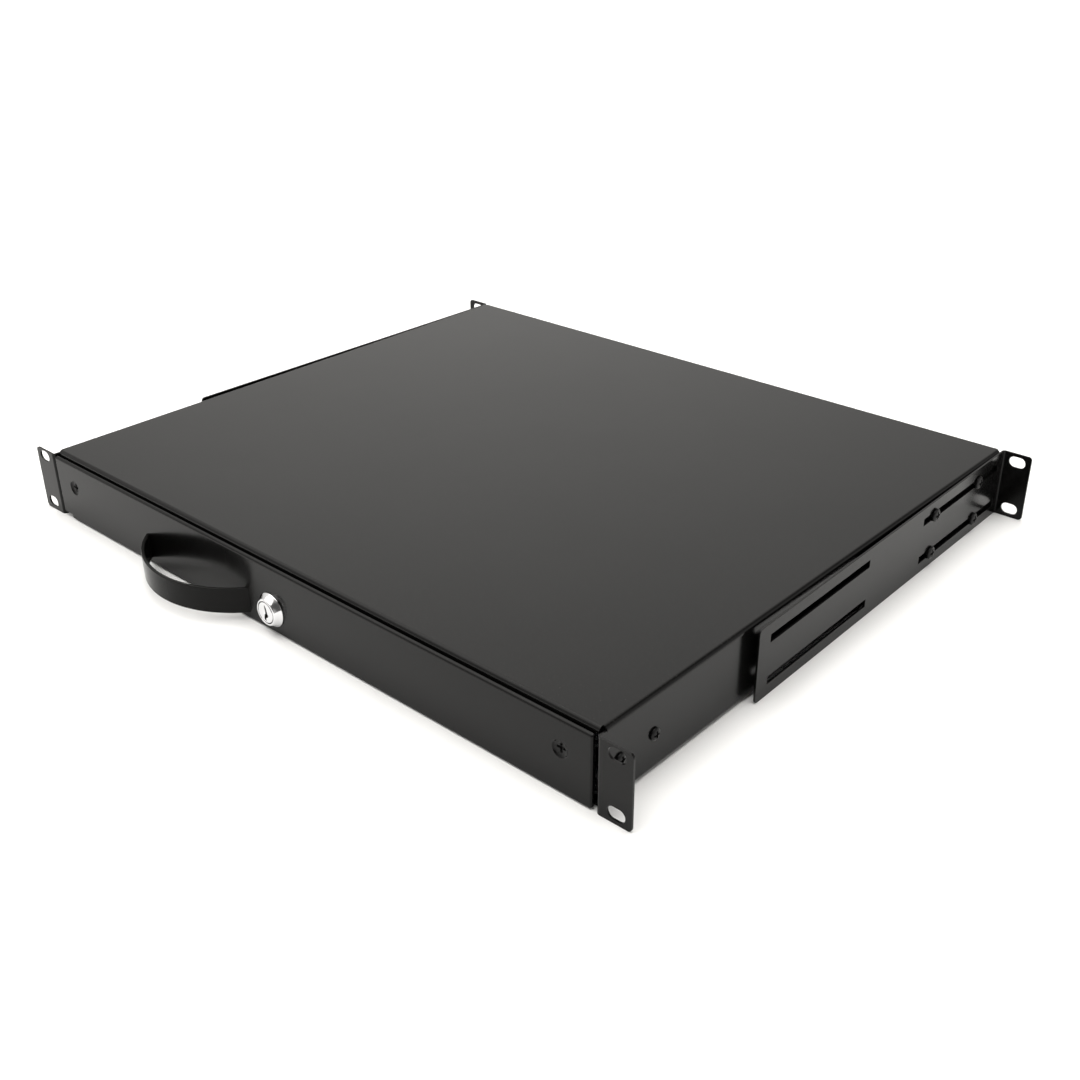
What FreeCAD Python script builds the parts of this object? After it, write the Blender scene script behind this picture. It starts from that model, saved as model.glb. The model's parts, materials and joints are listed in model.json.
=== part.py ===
import FreeCAD, Part
import math
import os

import Sketcher

# A one-unit keyboard drawer for a 19-inch rack, in millimetres. X runs to the right, Y into the
# rack and Z up. The origin lies on the front face of the front ears, midway between their slots.

SIZES = {
    # Rack ears
    "rack_width": 482.6,
    "ear_width": 19.3,
    "ear_corner_radius": 2.4,
    "slot_inset": 8.75,
    "slot_span_up": 31.75,
    "slot_end_margin": 5.575,
    "ear_top_trim": 1.2,
    "rack_slot_length": 10.4,
    "rack_slot_width": 7.0,
    # Chassis, one folded sheet
    "chassis_depth": 391.2,
    "chassis_sheet": 1.2,
    "bend_inside": 1.2,
    "lip_gap": 3.9,
    "slide_floor_gap": 1.7,
    "slide_roof_gap": 3.5,
    "fold_gap": 0.2,
    "fold_drop": 12.2,
    "fold_end_drop": 3.6,
    "fold_tray_gap": 2.9,
    "corner_relief": 0.4,
    "rear_fold_drop": 12.0,
    # Ball slides
    "slide_height": 35.0,
    "slide_thickness": 12.7,
    "slide_gap": 1.4,
    "slide_sheet": 1.2,
    "slide_mouth_gap": 1.5,
    "slide_web_gap": 0.9,
    "ball_diameter": 2.6,
    "ball_clearance": 0.1,
    "ball_pitch": 14.0,
    "ball_pocket_clearance": 0.05,
    "cage_clearance": 0.25,
    "cage_end": 11.0,
    # Drawer tray
    "tray_sheet": 1.2,
    "tray_bend_inside": 0.8,
    "tray_lift": 0.2,
    "tray_rim_height": 12.8,
    "tray_rear_room": 31.2,
    "tray_back_height": 14.0,
    "tab_width": 15.0,
    "tab_relief": 3.0,
    # Drawer front
    "front_sheet": 2.0,
    "front_side_gap": 1.4,
    "front_offset": 0.6,
    "front_top_gap": 1.6,
    "front_corner_radius": 1.2,
    "front_edge_round": 1.6,
    "notch_length": 9.4,
    "notch_height": 2.2,
    # Bow handle
    "handle_gap": 10.3,
    "handle_top_drop": 1.5,
    "handle_span": 97.8,
    "handle_bow": 23.5,
    "handle_height": 15.5,
    "handle_sheet": 2.0,
    "tongue_shoulder": 3.0,
    "tongue_trim": 0.2,
    "tongue_inset": 0.3,
    "tongue_clearance": 0.1,
    # Cam lock
    "lock_place": -5.4,
    "lock_height": -6.9,
    "plug_radius": 6.5,
    "plug_clearance": 0.06,
    "barrel_wall": 1.5,
    "barrel_tail": 1.8,
    "barrel_clearance": 0.05,
    "collar_overhang": 2.1,
    "collar_rim": 0.8,
    "collar_waist": 0.5,
    "lock_face_wall": 1.1,
    "lock_projection": 4.5,
    "keyway_width": 1.2,
    "keyway_margin": 1.8,
    "keyway_depth": 3.6,
    "lock_nut_wall": 1.5,
    "lock_nut_thickness": 2.8,
    "cam_thickness": 2.0,
    "cam_edge": 4.0,
    "cam_roof_gap": 1.9,
    "cam_gap": 0.3,
    "tenon_wall": 1.0,
    "tenon_clearance": 0.05,
    # Screws and nuts
    "screw_radius": 2.0,
    "screw_clearance": 0.05,
    "pan_head_overhang": 2.0,
    "pan_head_height": 1.9,
    "sunk_head_depth": 0.5,
    "sunk_land": 0.25,
    "recess_width": 1.1,
    "recess_span": 4.0,
    "recess_depth": 1.0,
    "cam_screw_radius": 1.5,
    "cam_screw_overhang": 1.7,
    "cam_screw_head_height": 1.6,
    "cam_screw_length": 6.0,
    "slide_screw_radius": 1.75,
    "slide_head_overhang": 1.6,
    "front_screw_radius": 3.0,
    "front_screw_inset": 7.4,
    "front_screw_height": 3.1,
    "front_screw_tip": 2.0,
    "side_screw_first": 9.3,
    "side_screw_front": 34.0,
    "side_screw_rear": 116.0,
    "tray_screw_front": 40.0,
    "tray_screw_rear": 50.0,
    "nut_wall": 1.5,
    "nut_thickness": 3.2,
    # Rear brackets
    "bracket_sheet": 1.2,
    "bracket_rear_gap": 0.3,
    "bracket_head_room": 1.6,
    "bracket_corner_radius": 2.4,
    "bracket_slot_clearance": 0.3,
    "bracket_slot_inset": 9.15,
    "bracket_slot_bridge": 62.5,
    "front_slot_margin": 10.3,
    "rear_slot_margin": 6.2,
    "bracket_travel_out": 11.2,
    "bracket_travel_in": 26.0,
    "bracket_screw_gap": 14.0,
    "bracket_screw_pitch": 56.7,
    "bracket_head_clearance": 0.3,
    "bracket_screw_tip": 1.5,
}

BALLS_PER_ROW = 8
SIDES = {"left": -1, "right": 1}
UP = FreeCAD.Vector(0, 0, 1)

doc = FreeCAD.newDocument("rack_keyboard_drawer")
sheet = doc.addObject("Spreadsheet::Sheet", "Sizes")
for row, (name, amount) in enumerate(SIZES.items(), start=1):
    sheet.set(f"A{row}", name)
    sheet.set(f"B{row}", str(amount))
    sheet.setAlias(f"B{row}", name)
doc.recompute()


class Size:
    """A length of the sheet, or a sum of such lengths: its formula and its present amount."""

    def __init__(self, formula, amount):
        self.formula = formula
        self.amount = amount

    def __add__(self, other):
        other = as_size(other)
        return Size(f"({self.formula} + {other.formula})", self.amount + other.amount)

    def __sub__(self, other):
        other = as_size(other)
        return Size(f"({self.formula} - {other.formula})", self.amount - other.amount)

    def __mul__(self, other):
        other = as_size(other)
        return Size(f"({self.formula} * {other.formula})", self.amount * other.amount)

    def __truediv__(self, other):
        other = as_size(other)
        return Size(f"({self.formula} / {other.formula})", self.amount / other.amount)

    def __radd__(self, other):
        return as_size(other) + self

    def __rsub__(self, other):
        return as_size(other) - self

    def __rmul__(self, other):
        return as_size(other) * self

    def __neg__(self):
        return Size(f"(-1 * {self.formula})", -self.amount)

    def root(self):
        return Size(f"sqrt({self.formula})", math.sqrt(self.amount))


def as_size(item):
    if isinstance(item, Size):
        return item
    return Size(repr(float(item)), float(item))


class Dimensions:
    """Gives each driving dimension of the sheet by its name."""

    def __getattr__(self, name):
        return Size(f"Sizes.{name}", float(SIZES[name]))


dim = Dimensions()

# Places that several pieces share
ear_edge = dim.rack_width / 2
ear_top = dim.slot_span_up / 2 + dim.slot_end_margin
front_ear_top = ear_top - dim.ear_top_trim
half_width = ear_edge - dim.ear_width
wall_inside = half_width - dim.chassis_sheet
chassis_bend = dim.bend_inside + dim.chassis_sheet
slide_rise = dim.slide_height / 2
chassis_bottom = -(slide_rise + dim.slide_floor_gap + dim.chassis_sheet)
roof_underside = slide_rise + dim.slide_roof_gap
chassis_top = roof_underside + dim.chassis_sheet
tray_outside = wall_inside - dim.slide_thickness
tray_inside = tray_outside - dim.tray_sheet
tray_bottom = chassis_bottom + dim.tray_lift
tray_end = dim.chassis_depth - dim.tray_rear_room
tab_back = dim.front_sheet + dim.tray_sheet
top_setback = tab_back + dim.fold_gap
front_left = dim.front_side_gap - wall_inside - dim.front_offset
front_right = wall_inside - dim.front_side_gap - dim.front_offset
front_top = roof_underside - dim.front_top_gap
screw_hole = dim.screw_radius + dim.screw_clearance
slide_screw_hole = dim.slide_screw_radius + dim.screw_clearance
front_screw_hole = dim.front_screw_radius + dim.screw_clearance
front_screw_places = [side * (tray_outside - dim.front_screw_inset) - dim.front_offset
                      for side in SIDES.values()]

# Slots of the rear brackets, the screws that they slide on, and the slides in front of those
bracket_slot_width = 2 * (dim.screw_radius + dim.bracket_slot_clearance)
bracket_travel = dim.bracket_travel_out + dim.bracket_travel_in
bracket_slot_length = dim.bracket_screw_pitch + bracket_travel + bracket_slot_width
rear_slot_end = dim.chassis_depth - dim.rear_slot_margin
rear_slot = rear_slot_end - bracket_slot_length / 2
front_slot = rear_slot - bracket_slot_length - dim.bracket_slot_bridge
bracket_front = front_slot - bracket_slot_length / 2 - dim.front_slot_margin
bracket_slot_row = ear_top - dim.bracket_slot_inset
rear_screw = rear_slot_end - bracket_slot_width / 2 - dim.bracket_travel_in
front_screw = rear_screw - dim.bracket_screw_pitch
slide_start = top_setback + dim.chassis_sheet + dim.slide_gap
slide_end = front_screw - dim.bracket_screw_gap
slide_length = slide_end - slide_start

# Cam lock, and the handle beside it
barrel_radius = dim.plug_radius + dim.barrel_wall
collar_radius = barrel_radius + dim.collar_overhang
lock_end = dim.front_sheet + dim.lock_nut_thickness + dim.barrel_tail
cam_stack = dim.cam_gap + dim.cam_thickness
half_tenon = dim.cam_screw_radius + dim.tenon_wall
handle_place = dim.lock_place - collar_radius - dim.handle_gap - dim.handle_span / 2
handle_middle = -dim.handle_top_drop - dim.handle_height / 2
tongue_height = dim.handle_height - 2 * dim.tongue_shoulder


def tie(thing, field, length):
    """Binds a property of a document object to a formula on the sheet."""
    thing.setExpression(field, as_size(length).formula)


def new_body(label):
    body = doc.addObject("PartDesign::Body", label)
    body.Label = label
    doc.recompute()
    return body


def place(thing, x=0, y=0, z=0, turn=0):
    """Moves a piece to x, y, z and turns it about the upright axis by turn degrees."""
    thing.Placement = FreeCAD.Placement(FreeCAD.Vector(), FreeCAD.Rotation(UP, turn))
    tie(thing, "Placement.Base.x", x)
    tie(thing, "Placement.Base.y", y)
    tie(thing, "Placement.Base.z", z)


def new_sketch(body, plane, name, offset=0):
    """Starts a sketch on an origin plane of the body, moved along the plane's normal by offset."""
    support = [item for item in body.Origin.OriginFeatures if item.Role == plane][0]
    sketch = body.newObject("Sketcher::SketchObject", name)
    sketch.AttachmentSupport = [(support, "")]
    sketch.MapMode = "FlatFace"
    tie(sketch, "AttachmentOffset.Base.z", offset)
    return sketch


def point(x, y):
    return FreeCAD.Vector(as_size(x).amount, as_size(y).amount, 0)


def constrain(sketch, length, kind, *where):
    length = as_size(length)
    index = sketch.addConstraint(Sketcher.Constraint(kind, *where, length.amount))
    sketch.setExpression(f"Constraints[{index}]", length.formula)


def pin(sketch, edge, end, x, y):
    """Holds one end of an edge, or a centre, at x, y from the sketch's origin."""
    constrain(sketch, x, "DistanceX", -1, 1, edge, end)
    constrain(sketch, y, "DistanceY", -1, 1, edge, end)


def polygon(sketch, corners):
    """Draws a closed outline of straight edges through the corners."""
    first = sketch.GeometryCount
    count = len(corners)
    for index, corner in enumerate(corners):
        following = corners[(index + 1) % count]
        sketch.addGeometry(Part.LineSegment(point(*corner), point(*following)), False)
    for index, corner in enumerate(corners):
        after = first + (index + 1) % count
        sketch.addConstraint(Sketcher.Constraint("Coincident", first + index, 2, after, 1))
        pin(sketch, first + index, 1, *corner)


def rectangle(sketch, left, right, low, high):
    polygon(sketch, [(left, low), (right, low), (right, high), (left, high)])


def circle(sketch, x, y, radius):
    edge = sketch.addGeometry(Part.Circle(point(x, y), UP, as_size(radius).amount), False)
    pin(sketch, edge, 3, x, y)
    constrain(sketch, radius, "Radius", edge)


def slot(sketch, x, y, length, width):
    """Draws a round-ended slot along the sketch's first axis, centred on x, y."""
    radius = width / 2
    reach = (length - width) / 2
    left_round = Part.Circle(point(x - reach, y), UP, radius.amount)
    right_round = Part.Circle(point(x + reach, y), UP, radius.amount)
    left = sketch.addGeometry(Part.ArcOfCircle(left_round, math.pi / 2, 3 * math.pi / 2), False)
    low_line = Part.LineSegment(point(x - reach, y - radius), point(x + reach, y - radius))
    low = sketch.addGeometry(low_line, False)
    right = sketch.addGeometry(Part.ArcOfCircle(right_round, -math.pi / 2, math.pi / 2), False)
    high_line = Part.LineSegment(point(x + reach, y + radius), point(x - reach, y + radius))
    high = sketch.addGeometry(high_line, False)
    ring = (left, low, right, high)
    for edge, after in zip(ring, ring[1:] + ring[:1]):
        sketch.addConstraint(Sketcher.Constraint("Tangent", edge, 2, after, 1))
    sketch.addConstraint(Sketcher.Constraint("Equal", left, right))
    pin(sketch, left, 3, x - reach, y)
    pin(sketch, right, 3, x + reach, y)
    constrain(sketch, radius, "Radius", left)


def pad(body, sketch, length, name, side="One side", back=False):
    feature = body.newObject("PartDesign::Pad", name)
    feature.Profile = sketch
    feature.SideType = side
    feature.Reversed = back
    tie(feature, "Length", length)
    doc.recompute()
    return feature


def pocket(body, sketch, name, length=None, back=False):
    """Cuts the sketch out of the body, right through both ways or to a depth, and proves it cut."""
    before = body.Shape.Volume
    feature = body.newObject("PartDesign::Pocket", name)
    feature.Profile = sketch
    if length is None:
        feature.Type = "ThroughAll"
        feature.SideType = "Symmetric"
    else:
        feature.Reversed = back
        tie(feature, "Length", length)
    doc.recompute()
    if not body.Shape.Volume < before:
        raise RuntimeError(f"{body.Label}: {name} removes nothing")
    return feature


def revolve(body, sketch, name):
    """Turns a half profile about the sketch's upright axis."""
    feature = body.newObject("PartDesign::Revolution", name)
    feature.Profile = sketch
    feature.ReferenceAxis = (sketch, ["V_Axis"])
    feature.Angle = 360
    doc.recompute()
    return feature


def edges_through(shape, spots):
    """Names the edges that pass through the spots; None in a spot leaves that coordinate free."""
    names = []
    for index, edge in enumerate(shape.Edges, start=1):
        box = edge.BoundBox
        spans = ((box.XMin, box.XMax), (box.YMin, box.YMax), (box.ZMin, box.ZMax))
        for spot in spots:
            fixed = [(span, at) for span, at in zip(spans, spot) if at is not None]
            if all(max(abs(span[0] - as_size(at).amount), abs(span[1] - as_size(at).amount)) < 1e-4
                   for span, at in fixed):
                names.append(f"Edge{index}")
                break
    return names


def dress(body, kind, spots, length, name):
    """Rounds or bevels the edges of the body that pass through the spots."""
    base = body.Tip
    edges = edges_through(base.Shape, spots)
    if not edges:
        raise RuntimeError(f"{body.Label}: {name} finds no edge")
    feature = body.newObject(f"PartDesign::{kind}", name)
    feature.Base = (base, edges)
    tie(feature, "Radius" if kind == "Fillet" else "Size", length)
    doc.recompute()
    return feature


def group(label, master, places):
    """Repeats one piece at each place, as one set of separate solids."""
    copies = []
    for index, spot in enumerate(places, start=1):
        copy = doc.addObject("App::Link", f"{label}_{index}")
        copy.LinkedObject = master
        place(copy, *spot)
        copies.append(copy)
    pieces = doc.addObject("Part::Compound", label)
    pieces.Label = label
    pieces.Links = copies
    doc.recompute()
    return pieces


def rack_slots(body, name, columns):
    """Cuts the ear's slots at the rack's hole spacing."""
    sketch = new_sketch(body, "XZ_Plane", f"{name}_outline")
    for side in columns:
        for level in (-1, 1):
            across = side * (ear_edge - dim.slot_inset)
            up = level * dim.slot_span_up / 2
            slot(sketch, across, up, dim.rack_slot_length, dim.rack_slot_width)
    return pocket(body, sketch, name)


def chassis_cover():
    """Folded cover: roof, side walls with bottom lips, front and rear folds, and the front ears."""
    body = new_body("chassis_cover")
    sheet_gauge = dim.chassis_sheet
    lip_edge = tray_outside + dim.lip_gap
    lip_top = chassis_bottom + sheet_gauge

    section = new_sketch(body, "XZ_Plane", "cover_section", -top_setback)
    outside = [(lip_edge, lip_top), (lip_edge, chassis_bottom), (half_width, chassis_bottom),
               (half_width, chassis_top)]
    inside = [(wall_inside, roof_underside), (wall_inside, lip_top)]
    mirrored = [[(-across, up) for across, up in reversed(part)] for part in (outside, inside)]
    polygon(section, outside + mirrored[0] + mirrored[1] + inside)
    pad(body, section, dim.chassis_depth - top_setback, "cover_shell", back=True)

    across = [half_width, -half_width]
    within = [wall_inside, -wall_inside]
    dress(body, "Fillet", [(x, None, chassis_top) for x in across]
          + [(x, None, chassis_bottom) for x in across], chassis_bend, "outer_bends")
    dress(body, "Fillet", [(x, None, roof_underside) for x in within]
          + [(x, None, lip_top) for x in within], dim.bend_inside, "inner_bends")

    ears = new_sketch(body, "XZ_Plane", "ear_outline")
    tabs = new_sketch(body, "XZ_Plane", "ear_tab_outline")
    for side in SIDES.values():
        rectangle(ears, side * wall_inside, side * ear_edge, -ear_top, front_ear_top)
        rectangle(tabs, side * wall_inside, side * half_width, -ear_top, front_ear_top)
    pad(body, tabs, top_setback, "ear_tabs", back=True)
    pad(body, ears, sheet_gauge, "ears", back=True)
    dress(body, "Fillet", [(side * ear_edge, None, level)
                           for side in SIDES.values() for level in (-ear_top, front_ear_top)],
          dim.ear_corner_radius, "ear_corners")
    dress(body, "Fillet", [(x, 0, None) for x in within], chassis_bend, "ear_bends")
    rack_slots(body, "ear_slots", SIDES.values())

    fold = new_sketch(body, "XZ_Plane", "front_fold_outline", -top_setback)
    fold_end = half_width - chassis_bend
    fold_middle = tray_inside - dim.fold_tray_gap
    shallow = chassis_top - dim.fold_end_drop
    deep = chassis_top - dim.fold_drop
    right_half = [(fold_middle, deep), (fold_middle, shallow), (fold_end, shallow),
                  (fold_end, chassis_top)]
    polygon(fold, right_half + [(-x, z) for x, z in reversed(right_half)])
    pad(body, fold, sheet_gauge, "front_fold", back=True)
    rear = new_sketch(body, "XZ_Plane", "rear_fold_outline", -dim.chassis_depth)
    rear_low = chassis_top - dim.rear_fold_drop
    rectangle(rear, -fold_end, fold_end, rear_low, chassis_top)
    pad(body, rear, sheet_gauge, "rear_fold")

    relief = new_sketch(body, "XY_Plane", "corner_relief_outline", chassis_top)
    relief_length = chassis_bend + dim.corner_relief
    ends = ((top_setback, top_setback + relief_length),
            (dim.chassis_depth - relief_length, dim.chassis_depth))
    for side in SIDES.values():
        for near, far in ends:
            rectangle(relief, side * fold_end, side * half_width, near, far)
    pocket(body, relief, "corner_reliefs", relief_length)
    tab_tops = new_sketch(body, "XZ_Plane", "tab_top_outline", -top_setback)
    for side in SIDES.values():
        rectangle(tab_tops, side * wall_inside, side * half_width, 0, front_ear_top)
    pad(body, tab_tops, chassis_bend, "tab_tops", back=True)
    fold_backs = [(None, top_setback + sheet_gauge, roof_underside),
                  (None, dim.chassis_depth - sheet_gauge, roof_underside)]
    dress(body, "Fillet", fold_backs, dim.bend_inside, "fold_inner_bends")
    fold_fronts = [(None, top_setback, chassis_top),
                   (None, dim.chassis_depth, chassis_top)]
    dress(body, "Fillet", fold_fronts, chassis_bend, "fold_outer_bends")

    holes = new_sketch(body, "YZ_Plane", "wall_hole_outline")
    for along in side_screw_rows():
        circle(holes, along, 0, slide_screw_hole)
    for along, up in bracket_screw_spots():
        circle(holes, along, up, screw_hole)
    pocket(body, holes, "wall_holes")
    return body


def side_screw_rows():
    return [slide_start + dim.side_screw_first, slide_start + dim.side_screw_front,
            slide_end - dim.side_screw_rear]


def tray_screw_rows():
    return [slide_start + dim.tray_screw_front, slide_end - dim.tray_screw_rear]


def bracket_screw_spots():
    return [(along, level * bracket_slot_row) for along in (front_screw, rear_screw)
            for level in (-1, 1)]


# Cross-section of a ball slide: distances inward from the chassis wall, heights from its middle
race_gap = dim.ball_diameter + 2 * dim.ball_clearance
middle_rise = slide_rise - dim.slide_sheet - race_gap
inner_rise = middle_rise - dim.slide_sheet - race_gap
outer_race = slide_rise - dim.slide_sheet - race_gap / 2
inner_race = middle_rise - dim.slide_sheet - race_gap / 2
slide_mouth = dim.slide_thickness - dim.slide_mouth_gap
middle_web = dim.slide_sheet + dim.slide_web_gap
inner_lips = middle_web + dim.slide_sheet + dim.slide_web_gap
outer_cage_web = dim.slide_sheet + dim.cage_clearance
inner_cage_web = middle_web + dim.slide_sheet + dim.cage_clearance
cage_sheet = dim.slide_web_gap - 2 * dim.cage_clearance
ball_line = (inner_lips + slide_mouth) / 2
cage_mouth = slide_mouth - dim.slide_mouth_gap / 2
cage_length = dim.ball_pitch * (BALLS_PER_ROW - 1) + 2 * dim.cage_end
cage_start = slide_start + (slide_length - cage_length) / 2


def channel(label, side, near, far, rise, gauge, start, length, web_at_wall=True):
    """A folded channel along the rack's depth: a web with a flange above and one below."""
    body = new_body(label)
    section = new_sketch(body, "XZ_Plane", "channel_section", -start)
    web, mouth = (near, far) if web_at_wall else (far, near)
    web_inner = near + gauge if web_at_wall else far - gauge
    corners = [(web, -rise), (mouth, -rise), (mouth, gauge - rise), (web_inner, gauge - rise),
               (web_inner, rise - gauge), (mouth, rise - gauge), (mouth, rise), (web, rise)]
    polygon(section, [(side * (wall_inside - inward), up) for inward, up in corners])
    pad(body, section, length, "channel", back=True)
    return body


def slide_members(name, side):
    """The three nested channels of one slide, with their screw holes."""
    outer = channel(f"{name}_slide_outer", side, as_size(0), slide_mouth, slide_rise,
                    dim.slide_sheet, slide_start, slide_length)
    middle = channel(f"{name}_slide_middle", side, middle_web, slide_mouth, middle_rise,
                     dim.slide_sheet, slide_start, slide_length)
    inner = channel(f"{name}_slide_inner", side, inner_lips, dim.slide_thickness, inner_rise,
                    dim.slide_sheet, slide_start, slide_length, web_at_wall=False)
    for body, rows in ((outer, side_screw_rows()), (inner, tray_screw_rows())):
        holes = new_sketch(body, "YZ_Plane", "screw_hole_outline")
        for along in rows:
            circle(holes, along, 0, slide_screw_hole)
        pocket(body, holes, "screw_holes")
    return [outer, middle, inner]


def ball_cage(label, side, web, race, balls_label):
    """A thin folded cage with two rows of pockets, and the balls that it spaces."""
    cage = channel(label, side, web, cage_mouth, race + cage_sheet / 2, cage_sheet,
                   cage_start, cage_length)
    across = side * (wall_inside - ball_line)
    stations = [cage_start + dim.cage_end + dim.ball_pitch * index for index in range(BALLS_PER_ROW)]
    pockets = new_sketch(cage, "XY_Plane", "ball_pocket_outline")
    for along in stations:
        circle(pockets, across, along, dim.ball_diameter / 2 + dim.ball_pocket_clearance)
    pocket(cage, pockets, "ball_pockets")
    ball = doc.addObject("Part::Sphere", f"{balls_label}_ball")
    tie(ball, "Radius", dim.ball_diameter / 2)
    spots = [(across, along, level * race) for along in stations for level in (-1, 1)]
    return [cage, group(balls_label, ball, spots)]


def ball_slide(name, side):
    pieces = slide_members(name, side)
    pieces += ball_cage(f"{name}_outer_cage", side, outer_cage_web, outer_race,
                        f"{name}_outer_balls")
    pieces += ball_cage(f"{name}_inner_cage", side, inner_cage_web, inner_race,
                        f"{name}_inner_balls")
    return pieces


def tongue_columns():
    """Where the handle's two tongues pass through the front, as low and high X."""
    outer = dim.handle_span / 2 - dim.tongue_inset
    inner = outer - (dim.handle_sheet - dim.tongue_trim)
    return [(handle_place + inner, handle_place + outer),
            (handle_place - outer, handle_place - inner)]


def drawer_tray():
    """Folded tray: floor, side walls with tabs that hold the drawer front, and a low back."""
    body = new_body("drawer_tray")
    gauge = dim.tray_sheet
    floor_top = tray_bottom + gauge
    section = new_sketch(body, "XZ_Plane", "tray_section", -dim.front_sheet)
    right_half = [(tray_outside, tray_bottom), (tray_outside, dim.tray_rim_height),
                  (tray_inside, dim.tray_rim_height), (tray_inside, floor_top)]
    polygon(section, right_half + [(-x, z) for x, z in reversed(right_half)])
    pad(body, section, tray_end - dim.front_sheet, "tray_trough", back=True)
    dress(body, "Fillet", [(side * tray_outside, None, tray_bottom) for side in SIDES.values()],
          dim.tray_bend_inside + gauge, "outer_bends")
    dress(body, "Fillet", [(side * tray_inside, None, floor_top) for side in SIDES.values()],
          dim.tray_bend_inside, "inner_bends")

    back = new_sketch(body, "XZ_Plane", "tray_back_outline", -tray_end)
    rectangle(back, -tray_inside, tray_inside, tray_bottom, tray_bottom + dim.tray_back_height)
    pad(body, back, gauge, "tray_back")
    tabs = new_sketch(body, "XZ_Plane", "front_tab_outline", -dim.front_sheet)
    for side in SIDES.values():
        rectangle(tabs, side * (tray_outside - dim.tab_width), side * tray_outside,
                  tray_bottom + dim.tab_relief, dim.tray_rim_height)
    pad(body, tabs, gauge, "front_tabs", back=True)

    tab_holes = new_sketch(body, "XZ_Plane", "tab_hole_outline")
    for across in front_screw_places:
        circle(tab_holes, across, dim.front_screw_height, front_screw_hole)
    pocket(body, tab_holes, "tab_holes", tab_back)
    wall_holes = new_sketch(body, "YZ_Plane", "wall_hole_outline")
    for along in tray_screw_rows():
        circle(wall_holes, along, 0, slide_screw_hole)
    pocket(body, wall_holes, "wall_holes")
    return body


def drawer_front():
    """Flat front plate, flush with the ears, notched at its lower left corner."""
    body = new_body("drawer_front")
    outline = new_sketch(body, "XZ_Plane", "front_outline")
    notch_edge = front_left + dim.notch_length
    notch_top = chassis_bottom + dim.notch_height
    polygon(outline, [(front_left, notch_top), (notch_edge, notch_top), (notch_edge, chassis_bottom),
                      (front_right, chassis_bottom), (front_right, front_top),
                      (front_left, front_top)])
    pad(body, outline, dim.front_sheet, "front_plate", back=True)
    dress(body, "Fillet", [(None, 0, front_top)], dim.front_edge_round, "top_edge")
    dress(body, "Fillet", [(front_right, None, chassis_bottom), (front_right, None, front_top),
                           (front_left, None, front_top), (notch_edge, None, chassis_bottom)],
          dim.front_corner_radius, "corners")
    cutouts = new_sketch(body, "XZ_Plane", "cutout_outline")
    circle(cutouts, dim.lock_place, dim.lock_height, barrel_radius + dim.barrel_clearance)
    for low, high in tongue_columns():
        reach = tongue_height / 2 + dim.tongue_clearance
        rectangle(cutouts, low - dim.tongue_clearance, high + dim.tongue_clearance,
                  handle_middle - reach, handle_middle + reach)
    for across in front_screw_places:
        circle(cutouts, across, dim.front_screw_height, front_screw_hole)
    pocket(body, cutouts, "cutouts")
    plate = body.Tip
    rims = [name for name in edges_through(plate.Shape, [(None, 0, None)])
            if is_rim(plate.Shape.getElement(name), front_screw_hole)]
    bevel = body.newObject("PartDesign::Chamfer", "screw_sinks")
    bevel.Base = (plate, rims)
    tie(bevel, "Size", dim.front_sheet - dim.sunk_land)
    doc.recompute()
    return body


def is_rim(edge, radius):
    return isinstance(edge.Curve, Part.Circle) and abs(edge.Curve.Radius - radius.amount) < 1e-4


def bow_handle():
    """Flat strap bent to one arc; a tongue at each end passes through the front and is welded."""
    body = new_body("bow_handle")
    half_span = dim.handle_span / 2
    outer_radius = (half_span * half_span / dim.handle_bow + dim.handle_bow) / 2
    inner_radius = outer_radius - dim.handle_sheet
    centre = outer_radius - dim.handle_bow
    inner_half = (inner_radius * inner_radius - centre * centre).root()
    bow = new_sketch(body, "XY_Plane", "bow_outline", handle_middle)
    arcs = []
    for radius, half in ((outer_radius, half_span), (inner_radius, inner_half)):
        lean = math.atan2(centre.amount, half.amount)
        round_edge = Part.Circle(point(handle_place, centre), UP, radius.amount)
        arcs.append(bow.addGeometry(Part.ArcOfCircle(round_edge, math.pi + lean, -lean), False))
    outer, inner = arcs
    left = bow.addGeometry(Part.LineSegment(point(handle_place - half_span, 0),
                                            point(handle_place - inner_half, 0)), False)
    right = bow.addGeometry(Part.LineSegment(point(handle_place + inner_half, 0),
                                             point(handle_place + half_span, 0)), False)
    for edge, end, other, start in ((outer, 1, left, 1), (left, 2, inner, 1),
                                    (inner, 2, right, 1), (right, 2, outer, 2)):
        bow.addConstraint(Sketcher.Constraint("Coincident", edge, end, other, start))
    for line in (left, right):
        bow.addConstraint(Sketcher.Constraint("PointOnObject", line, 1, -1))
        bow.addConstraint(Sketcher.Constraint("PointOnObject", line, 2, -1))
    pin(bow, outer, 3, handle_place, centre)
    bow.addConstraint(Sketcher.Constraint("Coincident", outer, 3, inner, 3))
    constrain(bow, outer_radius, "Radius", outer)
    constrain(bow, inner_radius, "Radius", inner)
    pad(body, bow, dim.handle_height, "strap", side="Symmetric")

    tongues = new_sketch(body, "XY_Plane", "tongue_outline", handle_middle)
    for low, high in tongue_columns():
        rectangle(tongues, low, high, -dim.tongue_clearance, dim.front_sheet)
    pad(body, tongues, tongue_height, "tongues", side="Symmetric")
    return body


def turned(label, profile):
    """A piece turned on a lathe: its half profile as radius and place along Y, from the origin."""
    body = new_body(label)
    outline = new_sketch(body, "XY_Plane", "half_profile")
    polygon(outline, profile)
    revolve(body, outline, "turning")
    return body


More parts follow.
